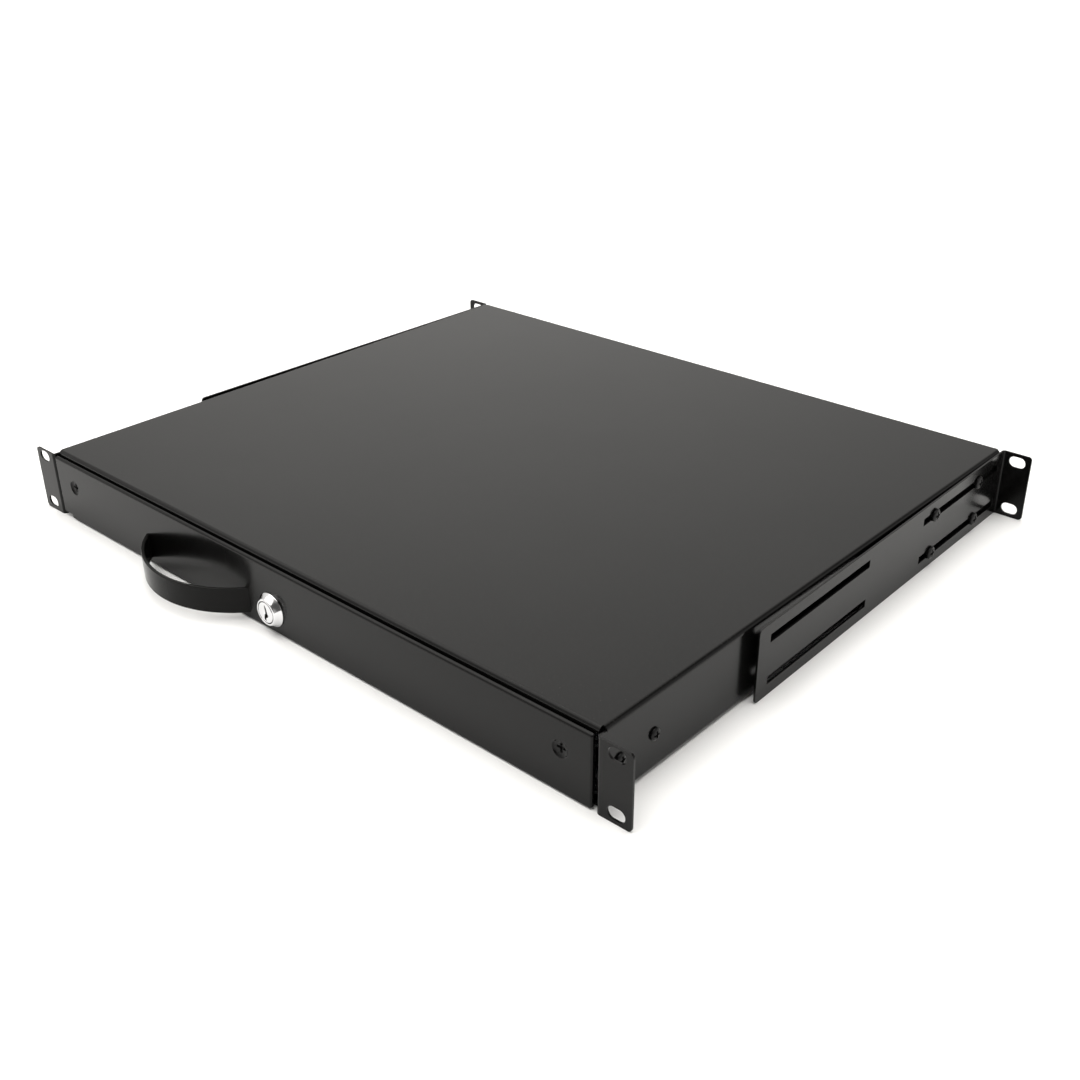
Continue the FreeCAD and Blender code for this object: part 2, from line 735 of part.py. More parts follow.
def cross_recess(body, face):
    """Cuts a cross into a screw's head, from the face at y = face."""
    arms = new_sketch(body, "XZ_Plane", "recess_outline", -face)
    half_width_of_arm = dim.recess_width / 2
    half_span = dim.recess_span / 2
    arm = [(half_width_of_arm, half_width_of_arm), (half_width_of_arm, half_span),
           (-half_width_of_arm, half_span), (-half_width_of_arm, half_width_of_arm)]
    outline = []
    for quarter in range(4):
        outline += arm[1:]
        arm = [(-up, across) for across, up in arm]
    polygon(arms, outline)
    pocket(body, arms, "cross_recess", dim.recess_depth)


def pan_screw(label, length, radius, overhang, head_height):
    """Pan-head screw along +Y: the head's underside lies at the origin."""
    head_radius = radius + overhang
    crown = head_height / 2
    body = turned(label, [(0, -head_height), (head_radius - crown, -head_height),
                          (head_radius, -crown), (head_radius, 0), (radius, 0),
                          (radius, length), (0, length)])
    cross_recess(body, -head_height)
    return body


def sunk_screw(label, length):
    """Countersunk screw along +Y: the head's flat top lies at the origin."""
    radius = dim.front_screw_radius
    cone = dim.front_sheet - dim.sunk_land - dim.sunk_head_depth
    body = turned(label, [(0, 0), (radius + cone, 0), (radius, cone), (radius, length), (0, length)])
    cross_recess(body, as_size(0))
    return body


def hexagon_nut(label, radius, clearance, wall, thickness):
    """Hexagon nut along +Y for a thread of this radius: its seat lies at the origin, a flat on top."""
    body = new_body(label)
    outline = new_sketch(body, "XZ_Plane", "nut_outline")
    half_flats = radius + wall
    half_side = half_flats / as_size(3).root()
    corners = [(half_side, half_flats), (half_side * 2, as_size(0)), (half_side, -half_flats)]
    polygon(outline, corners + [(-x, -z) for x, z in corners])
    circle(outline, 0, 0, radius + clearance)
    pad(body, outline, thickness, "nut", back=True)
    return body


def lock_housing():
    """Fixed cylinder of the cam lock: flared collar outside, plain barrel through the front."""
    bore = dim.plug_radius + dim.plug_clearance
    face_radius = dim.plug_radius + dim.lock_face_wall
    waist = (face_radius + collar_radius) / 2 - dim.collar_waist
    body = turned("lock_housing", [(bore, -dim.lock_projection),
                                   (face_radius, -dim.lock_projection),
                                   (waist, -(dim.lock_projection + dim.collar_rim) / 2),
                                   (collar_radius, -dim.collar_rim), (collar_radius, 0),
                                   (barrel_radius, 0), (barrel_radius, lock_end),
                                   (bore, lock_end)])
    place(body, dim.lock_place, 0, dim.lock_height)
    return body


def lock_plug():
    """Turning plug with a stepped keyway in its face and a square tenon for the cam."""
    body = turned("lock_plug", [(0, -dim.lock_projection), (dim.plug_radius, -dim.lock_projection),
                                (dim.plug_radius, lock_end), (0, lock_end)])
    tenon = new_sketch(body, "XZ_Plane", "tenon_outline", -lock_end)
    rectangle(tenon, -half_tenon, half_tenon, -half_tenon, half_tenon)
    pad(body, tenon, cam_stack, "tenon", back=True)
    thread = new_sketch(body, "XZ_Plane", "thread_outline", -(lock_end + cam_stack))
    circle(thread, 0, 0, dim.cam_screw_radius + dim.screw_clearance)
    pocket(body, thread, "screw_thread", dim.cam_screw_length + dim.cam_gap, back=True)
    keyway = new_sketch(body, "XZ_Plane", "keyway_outline", dim.lock_projection)
    half_key = dim.plug_radius - dim.keyway_margin
    step = dim.keyway_width / 2
    polygon(keyway, [(-step, half_key), (step, half_key), (step, step), (step * 2, 0),
                     (step * 2, -half_key), (0, -half_key), (0, -step), (-step, 0)])
    pocket(body, keyway, "keyway", dim.keyway_depth)
    place(body, dim.lock_place, 0, dim.lock_height)
    return body


def lock_cam():
    """Flat cam on the plug's tenon, pointing left when the drawer is free to open."""
    body = new_body("lock_cam")
    outline = new_sketch(body, "XZ_Plane", "cam_outline")
    half_cam = half_tenon + dim.cam_edge
    reach = roof_underside - dim.cam_roof_gap - dim.lock_height
    slot(outline, (half_cam - reach) / 2, as_size(0), reach + half_cam, 2 * half_cam)
    half_hole = half_tenon + dim.tenon_clearance
    rectangle(outline, -half_hole, half_hole, -half_hole, half_hole)
    pad(body, outline, dim.cam_thickness, "cam", back=True)
    place(body, dim.lock_place, lock_end + dim.cam_gap, dim.lock_height)
    return body


def cam_lock():
    nut = hexagon_nut("lock_nut", barrel_radius, dim.barrel_clearance, dim.lock_nut_wall,
                      dim.lock_nut_thickness)
    place(nut, dim.lock_place, dim.front_sheet, dim.lock_height)
    screw = pan_screw("cam_screw", dim.cam_screw_length, dim.cam_screw_radius,
                      dim.cam_screw_overhang, dim.cam_screw_head_height)
    place(screw, dim.lock_place, lock_end + cam_stack, dim.lock_height, 180)
    return [lock_housing(), nut, lock_plug(), lock_cam(), screw]


def bracket_gap(along):
    """The gap from side wall to bracket plate: it widens forwards, to clear the side screws' heads."""
    head_gap = dim.pan_head_height + dim.bracket_head_room
    lean = (head_gap - dim.bracket_rear_gap) / (dim.chassis_depth - side_screw_rows()[-1])
    return dim.bracket_rear_gap + lean * (dim.chassis_depth - along)


def rear_bracket(name, side):
    """L-shaped bracket: a slotted plate along the side wall and the rear ear at its end."""
    body = new_body(f"{name}_rear_bracket")
    gauge = dim.bracket_sheet
    near_front = half_width + bracket_gap(bracket_front)
    near_rear = half_width + dim.bracket_rear_gap
    rear = dim.chassis_depth
    plan = new_sketch(body, "XY_Plane", "bracket_plan")
    corners = [(near_front, bracket_front), (near_front + gauge, bracket_front),
               (near_rear + gauge, rear), (ear_edge, rear), (ear_edge, rear + gauge),
               (near_rear, rear + gauge)]
    polygon(plan, [(side * across, along) for across, along in corners])
    pad(body, plan, 2 * ear_top, "bracket_plate", side="Symmetric")
    outer_bend = dim.bend_inside + gauge
    dress(body, "Fillet", [(side * near_rear, rear + gauge, None)], outer_bend, "outer_bend")
    dress(body, "Fillet", [(side * (near_rear + gauge), rear, None)], dim.bend_inside, "inner_bend")
    dress(body, "Fillet", [(side * ear_edge, None, level * ear_top) for level in (-1, 1)]
          + [(None, bracket_front, level * ear_top) for level in (-1, 1)],
          dim.bracket_corner_radius, "corners")
    rack_slots(body, "ear_slots", [side])

    slots = new_sketch(body, "YZ_Plane", "plate_slot_outline")
    for along in (front_slot, rear_slot):
        for level in (-1, 1):
            low = level * bracket_slot_row - bracket_slot_width / 2
            rectangle(slots, along - bracket_slot_length / 2, along + bracket_slot_length / 2,
                      low, low + bracket_slot_width)
    pocket(body, slots, "plate_slots")
    return body


def bracket_fasteners():
    """Four screws for each bracket, and the nuts clinched to the inside of the side walls."""
    clamped = dim.bracket_head_clearance + dim.bracket_sheet
    grip = clamped + bracket_gap(front_screw) + dim.chassis_sheet + dim.nut_thickness
    screw = pan_screw("bracket_screw", grip + dim.bracket_screw_tip, dim.screw_radius,
                      dim.pan_head_overhang, dim.pan_head_height)
    nut = hexagon_nut("bracket_nut", dim.screw_radius, dim.screw_clearance, dim.nut_wall,
                      dim.nut_thickness)
    screws = []
    nuts = []
    for side in SIDES.values():
        turn = 90 * side
        for along, up in bracket_screw_spots():
            seat = half_width + bracket_gap(along) + clamped
            screws.append((side * seat, along, up, turn))
            nuts.append((side * wall_inside, along, up, turn))
    return [group("bracket_screws", screw, screws), group("bracket_nuts", nut, nuts)]


def slide_fasteners():
    """Screws that hold the slides to the chassis walls and to the tray's walls."""
    outer = pan_screw("side_wall_screw", dim.chassis_sheet + dim.slide_sheet,
                      dim.slide_screw_radius, dim.slide_head_overhang, dim.pan_head_height)
    inner = pan_screw("tray_slide_screw", dim.tray_sheet + dim.slide_sheet,
                      dim.slide_screw_radius, dim.slide_head_overhang, dim.pan_head_height)
    walls = [(side * half_width, along, 0, 90 * side)
             for side in SIDES.values() for along in side_screw_rows()]
    trays = [(side * tray_inside, along, 0, -90 * side)
             for side in SIDES.values() for along in tray_screw_rows()]
    return [group("side_wall_screws", outer, walls), group("tray_slide_screws", inner, trays)]


def front_fasteners():
    """Sunk screws through the front into the tray's tabs."""
    screw = sunk_screw("front_panel_screw", tab_back + dim.front_screw_tip)
    spots = [(across, dim.sunk_head_depth, dim.front_screw_height)
             for across in front_screw_places]
    return [group("front_panel_screws", screw, spots)]


pieces = [chassis_cover(), drawer_tray(), drawer_front(), bow_handle()]
for name, side in SIDES.items():
    pieces += ball_slide(name, side)
    pieces.append(rear_bracket(name, side))
pieces += cam_lock() + bracket_fasteners() + slide_fasteners() + front_fasteners()

doc.recompute()
for item in doc.Objects:
    if "Invalid" in item.State or "Error" in item.State:
        raise RuntimeError(f"{item.Label} did not rebuild")
for piece in pieces:
    if piece.Shape.isNull() or not piece.Shape.isValid():
        raise RuntimeError(f"{piece.Label} has no valid shape")

os.makedirs("parts", exist_ok=True)
for piece in pieces:
    piece.Shape.exportStep(f"parts/{piece.Label}.step")
    print(f"{piece.Label}: {len(piece.Shape.Solids)} solids, {piece.Shape.Volume:.1f} mm3")
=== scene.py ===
import json
import math

import bmesh
import bpy
import numpy as np
from mathutils import Matrix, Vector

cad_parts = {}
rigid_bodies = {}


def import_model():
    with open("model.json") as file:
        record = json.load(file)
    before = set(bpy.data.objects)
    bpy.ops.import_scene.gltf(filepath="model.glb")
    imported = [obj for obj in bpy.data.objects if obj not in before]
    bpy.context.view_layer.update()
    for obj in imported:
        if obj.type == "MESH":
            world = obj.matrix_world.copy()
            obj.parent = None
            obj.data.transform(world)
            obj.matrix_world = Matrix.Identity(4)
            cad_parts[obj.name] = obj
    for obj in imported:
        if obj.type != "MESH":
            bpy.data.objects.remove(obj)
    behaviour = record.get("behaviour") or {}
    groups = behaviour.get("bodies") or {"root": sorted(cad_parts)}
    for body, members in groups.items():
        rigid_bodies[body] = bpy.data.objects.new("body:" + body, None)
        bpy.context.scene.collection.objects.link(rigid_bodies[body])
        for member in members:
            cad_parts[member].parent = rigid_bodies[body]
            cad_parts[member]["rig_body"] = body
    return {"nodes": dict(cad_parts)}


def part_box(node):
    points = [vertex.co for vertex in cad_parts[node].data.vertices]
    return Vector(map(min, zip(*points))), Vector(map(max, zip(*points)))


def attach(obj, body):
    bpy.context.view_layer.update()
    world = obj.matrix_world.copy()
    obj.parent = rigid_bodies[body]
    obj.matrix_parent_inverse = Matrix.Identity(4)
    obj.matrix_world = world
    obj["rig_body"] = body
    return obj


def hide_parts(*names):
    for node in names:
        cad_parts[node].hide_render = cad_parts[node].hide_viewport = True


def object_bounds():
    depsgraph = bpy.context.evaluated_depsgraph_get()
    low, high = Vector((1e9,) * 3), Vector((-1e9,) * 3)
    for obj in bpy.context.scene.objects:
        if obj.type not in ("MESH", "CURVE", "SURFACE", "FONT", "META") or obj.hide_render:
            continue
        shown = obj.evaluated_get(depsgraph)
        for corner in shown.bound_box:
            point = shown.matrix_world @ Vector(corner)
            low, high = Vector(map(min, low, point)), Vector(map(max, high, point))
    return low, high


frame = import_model()
nodes = frame["nodes"]
cad_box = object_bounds()

# Chassis cover
# One sheet of thin steel, cut and folded into a shallow box with the rack ears at its front, then
# coated in black powder. The powder rounds every cut edge, and lies thinner and glossier there.
MM = 0.001
CUT_EDGE_ROUND = 0.25 * MM
CUT_EDGE_STEPS = 2
CUT_EDGE_ANGLE = math.radians(40)
FLAT_ANGLE = math.radians(0.3)
FLAT_WEIGHT = 100
SEAM = 0.002 * MM
COAT_DARK = (0.0026, 0.0026, 0.0025, 1.0)
COAT_LIGHT = (0.0036, 0.0035, 0.0034, 1.0)
EDGE_DARK = (0.0039, 0.0039, 0.0037, 1.0)
EDGE_LIGHT = (0.0056, 0.0055, 0.0053, 1.0)
COAT_PEEL_SCALE = 620.0
COAT_PEEL_DEPTH = 0.003 * MM
COAT_ROUGHNESS = (0.16, 0.20)
COAT_GLOSS = 0.162
EDGE_ROUGHNESS = (0.18, 0.24)
EDGE_GLOSS = 0.25
DUST_COLOUR = (0.30, 0.29, 0.27, 1.0)
COVER_DUST = 0.030
GRAIN_DETAIL = 3.0
CLOUD_SCALE = 9.0
CLOUD_DETAIL = 4.0
CLOUD_SPAN = (0.3, 0.7)
SMEAR_SCALE = 22.0
SMEAR_DETAIL = 5.0
SMEAR_SPAN = (0.35, 0.65)
SPECK_SCALE = 900.0
SPECK_DETAIL = 2.0
SPECK_SPAN = (0.56, 0.74)
UPWARD_SPAN = (0.6, 1.0)


def feed(tree, amount, socket):
    """Links another node's output to a socket, or sets a constant on the socket itself."""
    if hasattr(amount, "is_output"):
        tree.links.new(amount, socket)
    else:
        socket.default_value = amount


def shade_node(tree, kind, **inputs):
    """Adds one shader node and feeds the inputs that are named, with spaces for underscores."""
    node = tree.nodes.new(kind)
    for label, amount in inputs.items():
        feed(tree, amount, node.inputs[label.replace("_", " ")])
    return node


def spread(tree, source, span, new_low, new_high):
    """Maps a value from its span to a new one, in proportion and held at the ends."""
    low, high = span
    node = shade_node(tree, "ShaderNodeMapRange", Value=source, From_Min=low, From_Max=high,
                      To_Min=new_low, To_Max=new_high)
    return node.outputs["Result"]


def object_noise(tree, scale, detail):
    """Cloudy noise fixed to the piece, read at its own coordinates."""
    place = shade_node(tree, "ShaderNodeTexCoord").outputs["Object"]
    noise = shade_node(tree, "ShaderNodeTexNoise", Vector=place, Scale=scale, Detail=detail)
    return noise.outputs["Fac"]


def effect_group(name, inputs, outputs):
    """A shader group with named number inputs and outputs; returns it with its two end nodes."""
    group = bpy.data.node_groups.new(name, "ShaderNodeTree")
    for way, labels in (("INPUT", inputs), ("OUTPUT", outputs)):
        for label in labels:
            group.interface.new_socket(label, in_out=way, socket_type="NodeSocketFloat")
    return group, group.nodes.new("NodeGroupInput"), group.nodes.new("NodeGroupOutput")


def grain_effect():
    """Fine skin of a coat or plating: a height for bumps and a broader tone, both from noise."""
    group, given, result = effect_group("surface_grain", ("Scale",), ("Height", "Tone"))
    height = object_noise(group, given.outputs["Scale"], GRAIN_DETAIL)
    cloud = object_noise(group, CLOUD_SCALE, CLOUD_DETAIL)
    feed(group, height, result.inputs["Height"])
    feed(group, spread(group, cloud, CLOUD_SPAN, 0.0, 1.0), result.inputs["Tone"])
    return group


def handling_effect():
    """Soft smears from handling: noise spread over the roughness between the two given ends."""
    group, given, result = effect_group("handling_smears", ("Low", "High"), ("Roughness",))
    smear = object_noise(group, SMEAR_SCALE, SMEAR_DETAIL)
    roughness = spread(group, smear, SMEAR_SPAN, given.outputs["Low"], given.outputs["High"])
    feed(group, roughness, result.inputs["Roughness"])
    return group


def dust_effect():
    """Dust that settles on faces that look up: specks in noise, times the upward share."""
    group, given, result = effect_group("settled_dust", ("Amount",), ("Mask",))
    facing = shade_node(group, "ShaderNodeNewGeometry").outputs["Normal"]
    axes = shade_node(group, "ShaderNodeSeparateXYZ", Vector=facing)
    upward = spread(group, axes.outputs["Z"], UPWARD_SPAN, 0.0, 1.0)
    specks = spread(group, object_noise(group, SPECK_SCALE, SPECK_DETAIL), SPECK_SPAN, 0.0,
                    given.outputs["Amount"])
    share = shade_node(group, "ShaderNodeMath")
    share.operation = "MULTIPLY"
    feed(group, upward, share.inputs[0])
    feed(group, specks, share.inputs[1])
    feed(group, share.outputs["Value"], result.inputs["Mask"])
    return group


GRAIN = grain_effect()
HANDLING = handling_effect()
DUST = dust_effect()


def place_effect(tree, group, **inputs):
    """Places an effect's group in a material, with that finish's own values for its inputs."""
    node = tree.nodes.new("ShaderNodeGroup")
    node.node_tree = group
    for label, amount in inputs.items():
        feed(tree, amount, node.inputs[label])
    return node


def blend_colours(tree, factor, first, second):
    """Mixes two colours by a mask, each a constant or an output: the first at 0, the second at 1."""
    node = tree.nodes.new("ShaderNodeMix")
    node.data_type = "RGBA"
    sockets = {socket.identifier: socket for socket in (*node.inputs, *node.outputs)}
    feed(tree, factor, sockets["Factor_Float"])
    feed(tree, first, sockets["A_Color"])
    feed(tree, second, sockets["B_Color"])
    return sockets["Result_Color"]


def finish(name, dark, light, roughness, scale, depth, metallic=0.0, gloss=0.5, dust=0.0):
    """A finish: two tones in clouds, smeared roughness, a fine bumpy skin and settled dust."""
    material = bpy.data.materials.new(name)
    material.use_nodes = True
    tree = material.node_tree
    grain = place_effect(tree, GRAIN, Scale=scale)
    smears = place_effect(tree, HANDLING, Low=roughness[0], High=roughness[1])
    tone = blend_colours(tree, grain.outputs["Tone"], dark, light)
    if dust:
        settled = place_effect(tree, DUST, Amount=dust)
        tone = blend_colours(tree, settled.outputs["Mask"], tone, DUST_COLOUR)
    bump = shade_node(tree, "ShaderNodeBump", Distance=depth, Strength=1.0,
                      Height=grain.outputs["Height"])
    surface = tree.nodes["Principled BSDF"]
    feed(tree, metallic, surface.inputs["Metallic"])
    feed(tree, gloss, surface.inputs["Specular IOR Level"])
    feed(tree, tone, surface.inputs["Base Color"])
    feed(tree, smears.outputs["Roughness"], surface.inputs["Roughness"])
    feed(tree, bump.outputs["Normal"], surface.inputs["Normal"])
    return material


powder_coat = finish("powder_coat", COAT_DARK, COAT_LIGHT, COAT_ROUGHNESS, COAT_PEEL_SCALE,
                     COAT_PEEL_DEPTH, gloss=COAT_GLOSS, dust=COVER_DUST)
thin_coat = finish("thin_coat_at_edges", EDGE_DARK, EDGE_LIGHT, EDGE_ROUGHNESS, COAT_PEEL_SCALE,
                   COAT_PEEL_DEPTH, gloss=EDGE_GLOSS)


def triangles_of(node):
    """A CAD node's points, and its triangles as rows of three point numbers."""
    source = nodes[node].data
    points = np.empty(len(source.vertices) * 3, np.float32)
    source.vertices.foreach_get("co", points)
    corners = np.empty(len(source.loops), np.int32)
    source.loops.foreach_get("vertex_index", corners)
    return points.reshape(-1, 3), corners.reshape(-1, 3)


def new_piece(name, points, faces, materials, flatten=False):
    """A smooth mesh at the origin; doubled points are joined, and flat faces made whole on request."""
    mesh = bpy.data.meshes.new(name)
    mesh.from_pydata(points, [], faces)
    shape = bmesh.new()
    shape.from_mesh(mesh)
    bmesh.ops.remove_doubles(shape, verts=shape.verts, dist=SEAM)
    if flatten:
        bmesh.ops.dissolve_limit(shape, angle_limit=FLAT_ANGLE, verts=shape.verts,
                                 edges=shape.edges)
    bmesh.ops.recalc_face_normals(shape, faces=shape.faces)
    shape.to_mesh(mesh)
    shape.free()
    mesh.shade_smooth()
    for material in materials:
        mesh.materials.append(material)
    piece = bpy.data.objects.new(name, mesh)
    bpy.context.scene.collection.objects.link(piece)
    return piece


def flat_shading(piece, keep_sharp=False):
    """Lets the broad faces rule the shading, so that they look flat right up to their edges."""
    flat = piece.modifiers.new("flat_faces", "WEIGHTED_NORMAL")
    flat.weight = FLAT_WEIGHT
    flat.keep_sharp = keep_sharp


def round_edges(piece, width, edge_material=0):
    """Rounds the edges that are sharper than a cut edge's angle, and keeps broad faces flat."""
    bevel = piece.modifiers.new("rounded_edges", "BEVEL")
    bevel.width = width
    bevel.segments = CUT_EDGE_STEPS
    bevel.limit_method = "ANGLE"
    bevel.angle_limit = CUT_EDGE_ANGLE
    bevel.material = edge_material
    bevel.miter_outer = "MITER_ARC"
    flat_shading(piece)


def stand_in(piece, node):
    """The piece takes its CAD node's place, on the same body, and the node is hidden."""
    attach(piece, nodes[node]["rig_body"])
    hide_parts(node)


def coated_sheet(name, node, width=CUT_EDGE_ROUND):
    """A folded sheet as the CAD has it, with its cut edges rounded by the coat."""
    points, triangles = triangles_of(node)
    piece = new_piece(name, points, triangles, (powder_coat, thin_coat), flatten=True)
    round_edges(piece, width, edge_material=1)
    stand_in(piece, node)


coated_sheet("cover_sheet", "chassis_cover")

# Side wall screws
# Black pan-head screws with a cross recess, turned from outside through the side walls into the
# outer slide members. Their heads are pressed from wire, blackened and oiled.
SCREW_DARK = (0.003, 0.003, 0.003, 1.0)
SCREW_LIGHT = (0.006, 0.006, 0.006, 1.0)
SCREW_ROUGHNESS = (0.26, 0.36)
SCREW_GLOSS = 0.17
SCREW_GRAIN_SCALE = 1800.0
SCREW_GRAIN_DEPTH = 0.006 * MM
PAN_HEAD_HEIGHT = 1.9 * MM
PAN_RIM_HEIGHT = 0.8 * MM
RIM_ROUND = 0.25 * MM
RIM_TURN_SHARE = 0.25
RIM_LINE_SHARE = 0.93
DOME_SHARE = 0.95
SCREW_EDGE_ROUND = 0.06 * MM
SLIDE_SCREW_SHANK = 1.75 * MM
TIP_SHARES = np.array((0.8, 0.3))
THREAD_PITCH = 0.7 * MM
THREAD_DEPTH = 0.16 * MM
THREAD_ROWS_PER_TURN = 4
RECESS_ARM_SHARE = 0.14
RECESS_REACH_SHARE = 0.58
RECESS_WALL_SHARE = 0.035
RECESS_TAPER = 0.4
RECESS_DEPTH = 1.35 * MM
WELD_DIGITS = 6
screw_black = finish("blackened_screws", SCREW_DARK, SCREW_LIGHT, SCREW_ROUGHNESS,
                     SCREW_GRAIN_SCALE, SCREW_GRAIN_DEPTH, gloss=SCREW_GLOSS)


def solids_of(node):
    """The boxes of a node's separate solids: the lowest label spreads over joined triangles."""
    points, triangles = triangles_of(node)
    same = np.unique(points.round(WELD_DIGITS), axis=0, return_inverse=True)[1].reshape(-1)
    corners = same[triangles]
    label = np.arange(same.max() + 1)
    settled = False
    while not settled:
        lowest = label[corners].min(axis=1, keepdims=True)
        reached = label.copy()
        np.minimum.at(reached, corners, np.broadcast_to(lowest, corners.shape))
        settled = bool((reached == label).all())
        label = reached
    owner = label[same]
    return [(points[owner == one].min(axis=0), points[owner == one].max(axis=0))
            for one in np.unique(owner)]


def grid_faces(rows, columns, ring):
    """Quads between neighbouring rows of a grid; in a ring the last column joins the first."""
    row, column = np.meshgrid(np.arange(rows - 1), np.arange(columns if ring else columns - 1),
                              indexing="ij")
    after = (column + 1) % columns
    return np.stack([row * columns + column, row * columns + after,
                     (row + 1) * columns + after, (row + 1) * columns + column],
                    axis=-1).reshape(-1, 4)


def thread_line(start, end):
    """Places along a thread, and its groove's depth there: a cosine wave with the thread's pitch."""
    along = np.arange(start, end, THREAD_PITCH / THREAD_ROWS_PER_TURN)
    return along, THREAD_DEPTH * (1 - np.cos(2 * math.pi * along / THREAD_PITCH)) / 2


def screw(head_radius, crown, rim, sink, shank, length):
    """One screw along +Y, its head's seat or flat top at the origin.

    The head is a square grid drawn out to a disc: each point moves towards the axis by the root of
    one less half the square of its other coordinate, so the cross recess follows the grid's lines.
    Its height is a low dome, and the cross is cut by four tapering arms. Rings then carry the rim
    down to the seat, or along a cone of depth sink, and on to a threaded shank with a blunt tip.
    """
    arm, reach, wall = RECESS_ARM_SHARE, RECESS_REACH_SHARE, RECESS_WALL_SHARE
    half = np.array([0, arm, arm + wall, (arm + wall + reach) / 2, reach, reach + wall,
                     (reach + wall + 1) / 2, RIM_LINE_SHARE, 1])
    line = np.concatenate([-half[:0:-1], half])
    across, up = np.meshgrid(line, line, indexing="ij")
    x = across * np.sqrt(1 - up ** 2 / 2)
    z = up * np.sqrt(1 - across ** 2 / 2)
    out = np.clip(x ** 2 + z ** 2, 0, 1)
    fall = (1 - np.sqrt(1 - DOME_SHARE * out)) / (1 - math.sqrt(1 - DOME_SHARE))
    dome = crown - (crown - rim) * fall
    inside = [np.clip((arm + wall - np.abs(one)) / wall, 0, 1)
              * np.clip((reach + wall - np.abs(other)) / wall, 0, 1)
              * (1 - RECESS_TAPER * np.abs(other) / reach)
              for one, other in ((up, across), (across, up))]
    cut = RECESS_DEPTH * np.maximum(*inside)
    head = np.stack([x * head_radius, cut - dome, z * head_radius], axis=-1).reshape(-1, 3)

    count = len(line)
    number = np.arange(count * count).reshape(count, count)
    border = np.concatenate([number[0, :-1], number[:-1, -1], number[-1, :0:-1], number[:0:-1, 0]])
    thread, groove = thread_line(0, length - sink)
    seat = [(head_radius, -RIM_TURN_SHARE * rim), (head_radius - RIM_ROUND, 0)] if rim else []
    radius = np.concatenate([[one for one, _ in seat], shank - groove, shank * TIP_SHARES])
    along = np.concatenate([[one for _, one in seat], sink + thread, np.full(len(TIP_SHARES), length)])
    spoke = head[border] / head_radius
    rings = np.stack([radius[:, None] * spoke[None, :, 0],
                      np.broadcast_to(along[:, None], (len(along), len(border))),
                      radius[:, None] * spoke[None, :, 2]], axis=-1)
    first = count * count
    ring_faces = first + grid_faces(len(along), len(border), ring=True)
    joint = np.stack([border, np.roll(border, -1), first + np.roll(np.arange(len(border)), -1),
                      first + np.arange(len(border))], axis=-1)
    last = first + (len(along) - 1) * len(border) + np.arange(len(border))
    points = np.concatenate([head, rings.reshape(-1, 3)])
    faces = np.concatenate([grid_faces(count, count, ring=False), joint, ring_faces]).tolist()
    return points, faces + [last.tolist()]


def turned_about_z(points, quarter):
    """Points turned about the upright axis by a number of quarter turns."""
    cosine, sine = ((1, 0), (0, 1), (-1, 0), (0, -1))[quarter % 4]
    return np.stack([cosine * points[:, 0] - sine * points[:, 1],
                     sine * points[:, 0] + cosine * points[:, 1], points[:, 2]], axis=-1)


def repeated(points, faces, spots):
    """One shape set at each spot, a place with its quarter turns, as one list of faces."""
    placed = [turned_about_z(points, quarter) + place for place, quarter in spots]
    shifted = [[number + copy * len(points) for number in face]
               for copy in range(len(spots)) for face in faces]
    return np.concatenate(placed), shifted


def seats_along_x(node, head_height, heads_outside):
    """Where a node's solids sit, each with its quarter turns, and the size of one of them.

    A seat lies the head's height in from the solid's end, the one away from the part's middle
    where heads are outside, or else the one towards it.
    """
    spots = []
    for low, high in solids_of(node):
        side = 1 if low[0] + high[0] > 0 else -1
        head_side = side if heads_outside else -side
        end = high[0] if head_side > 0 else low[0]
        seat = end - head_side * head_height
        place = np.array([seat, (low[1] + high[1]) / 2, (low[2] + high[2]) / 2])
        spots.append((place, 1 if head_side > 0 else 3))
    return spots, high - low


def pan_screws(name, node, shank, heads_outside):
    """Pan-head screws along X in place of a node's solids, with their heads outside or inside."""
    spots, size = seats_along_x(node, PAN_HEAD_HEIGHT, heads_outside)
    shape = screw(size[2] / 2, PAN_HEAD_HEIGHT, PAN_RIM_HEIGHT, 0, shank, size[0] - PAN_HEAD_HEIGHT)
    piece = new_piece(name, *repeated(*shape, spots), (screw_black,))
    round_edges(piece, SCREW_EDGE_ROUND)
    stand_in(piece, node)


pan_screws("side_screw_heads", "side_wall_screws", SLIDE_SCREW_SHANK, heads_outside=True)

# Ball slides
# Three nested channels on each side, rolled from zinc-plated strip: the outer one on the chassis
# wall, the inner one on the tray, the middle one between. Their flanges are rolled to ball races.
SLIDE_DARK = (0.30, 0.31, 0.32, 1.0)
SLIDE_LIGHT = (0.40, 0.41, 0.43, 1.0)
SLIDE_ROUGHNESS = (0.40, 0.52)
SLIDE_GRAIN_SCALE = 1500.0
SLIDE_GRAIN_DEPTH = 0.003 * MM
SLIDE_GAUGE = 1.2 * MM
SLIDE_BEND = 1.6 * MM
SLIDE_EDGE_ROUND = 0.12 * MM
OUTER_RACE_SAG = -0.9 * MM
INNER_RACE_SAG = 0.5 * MM
FLANGE_STATIONS = 15
BEND_STATIONS = 7
slide_steel = finish("rolled_slide_steel", SLIDE_DARK, SLIDE_LIGHT, SLIDE_ROUGHNESS,
                     SLIDE_GRAIN_SCALE, SLIDE_GRAIN_DEPTH, metallic=1.0)


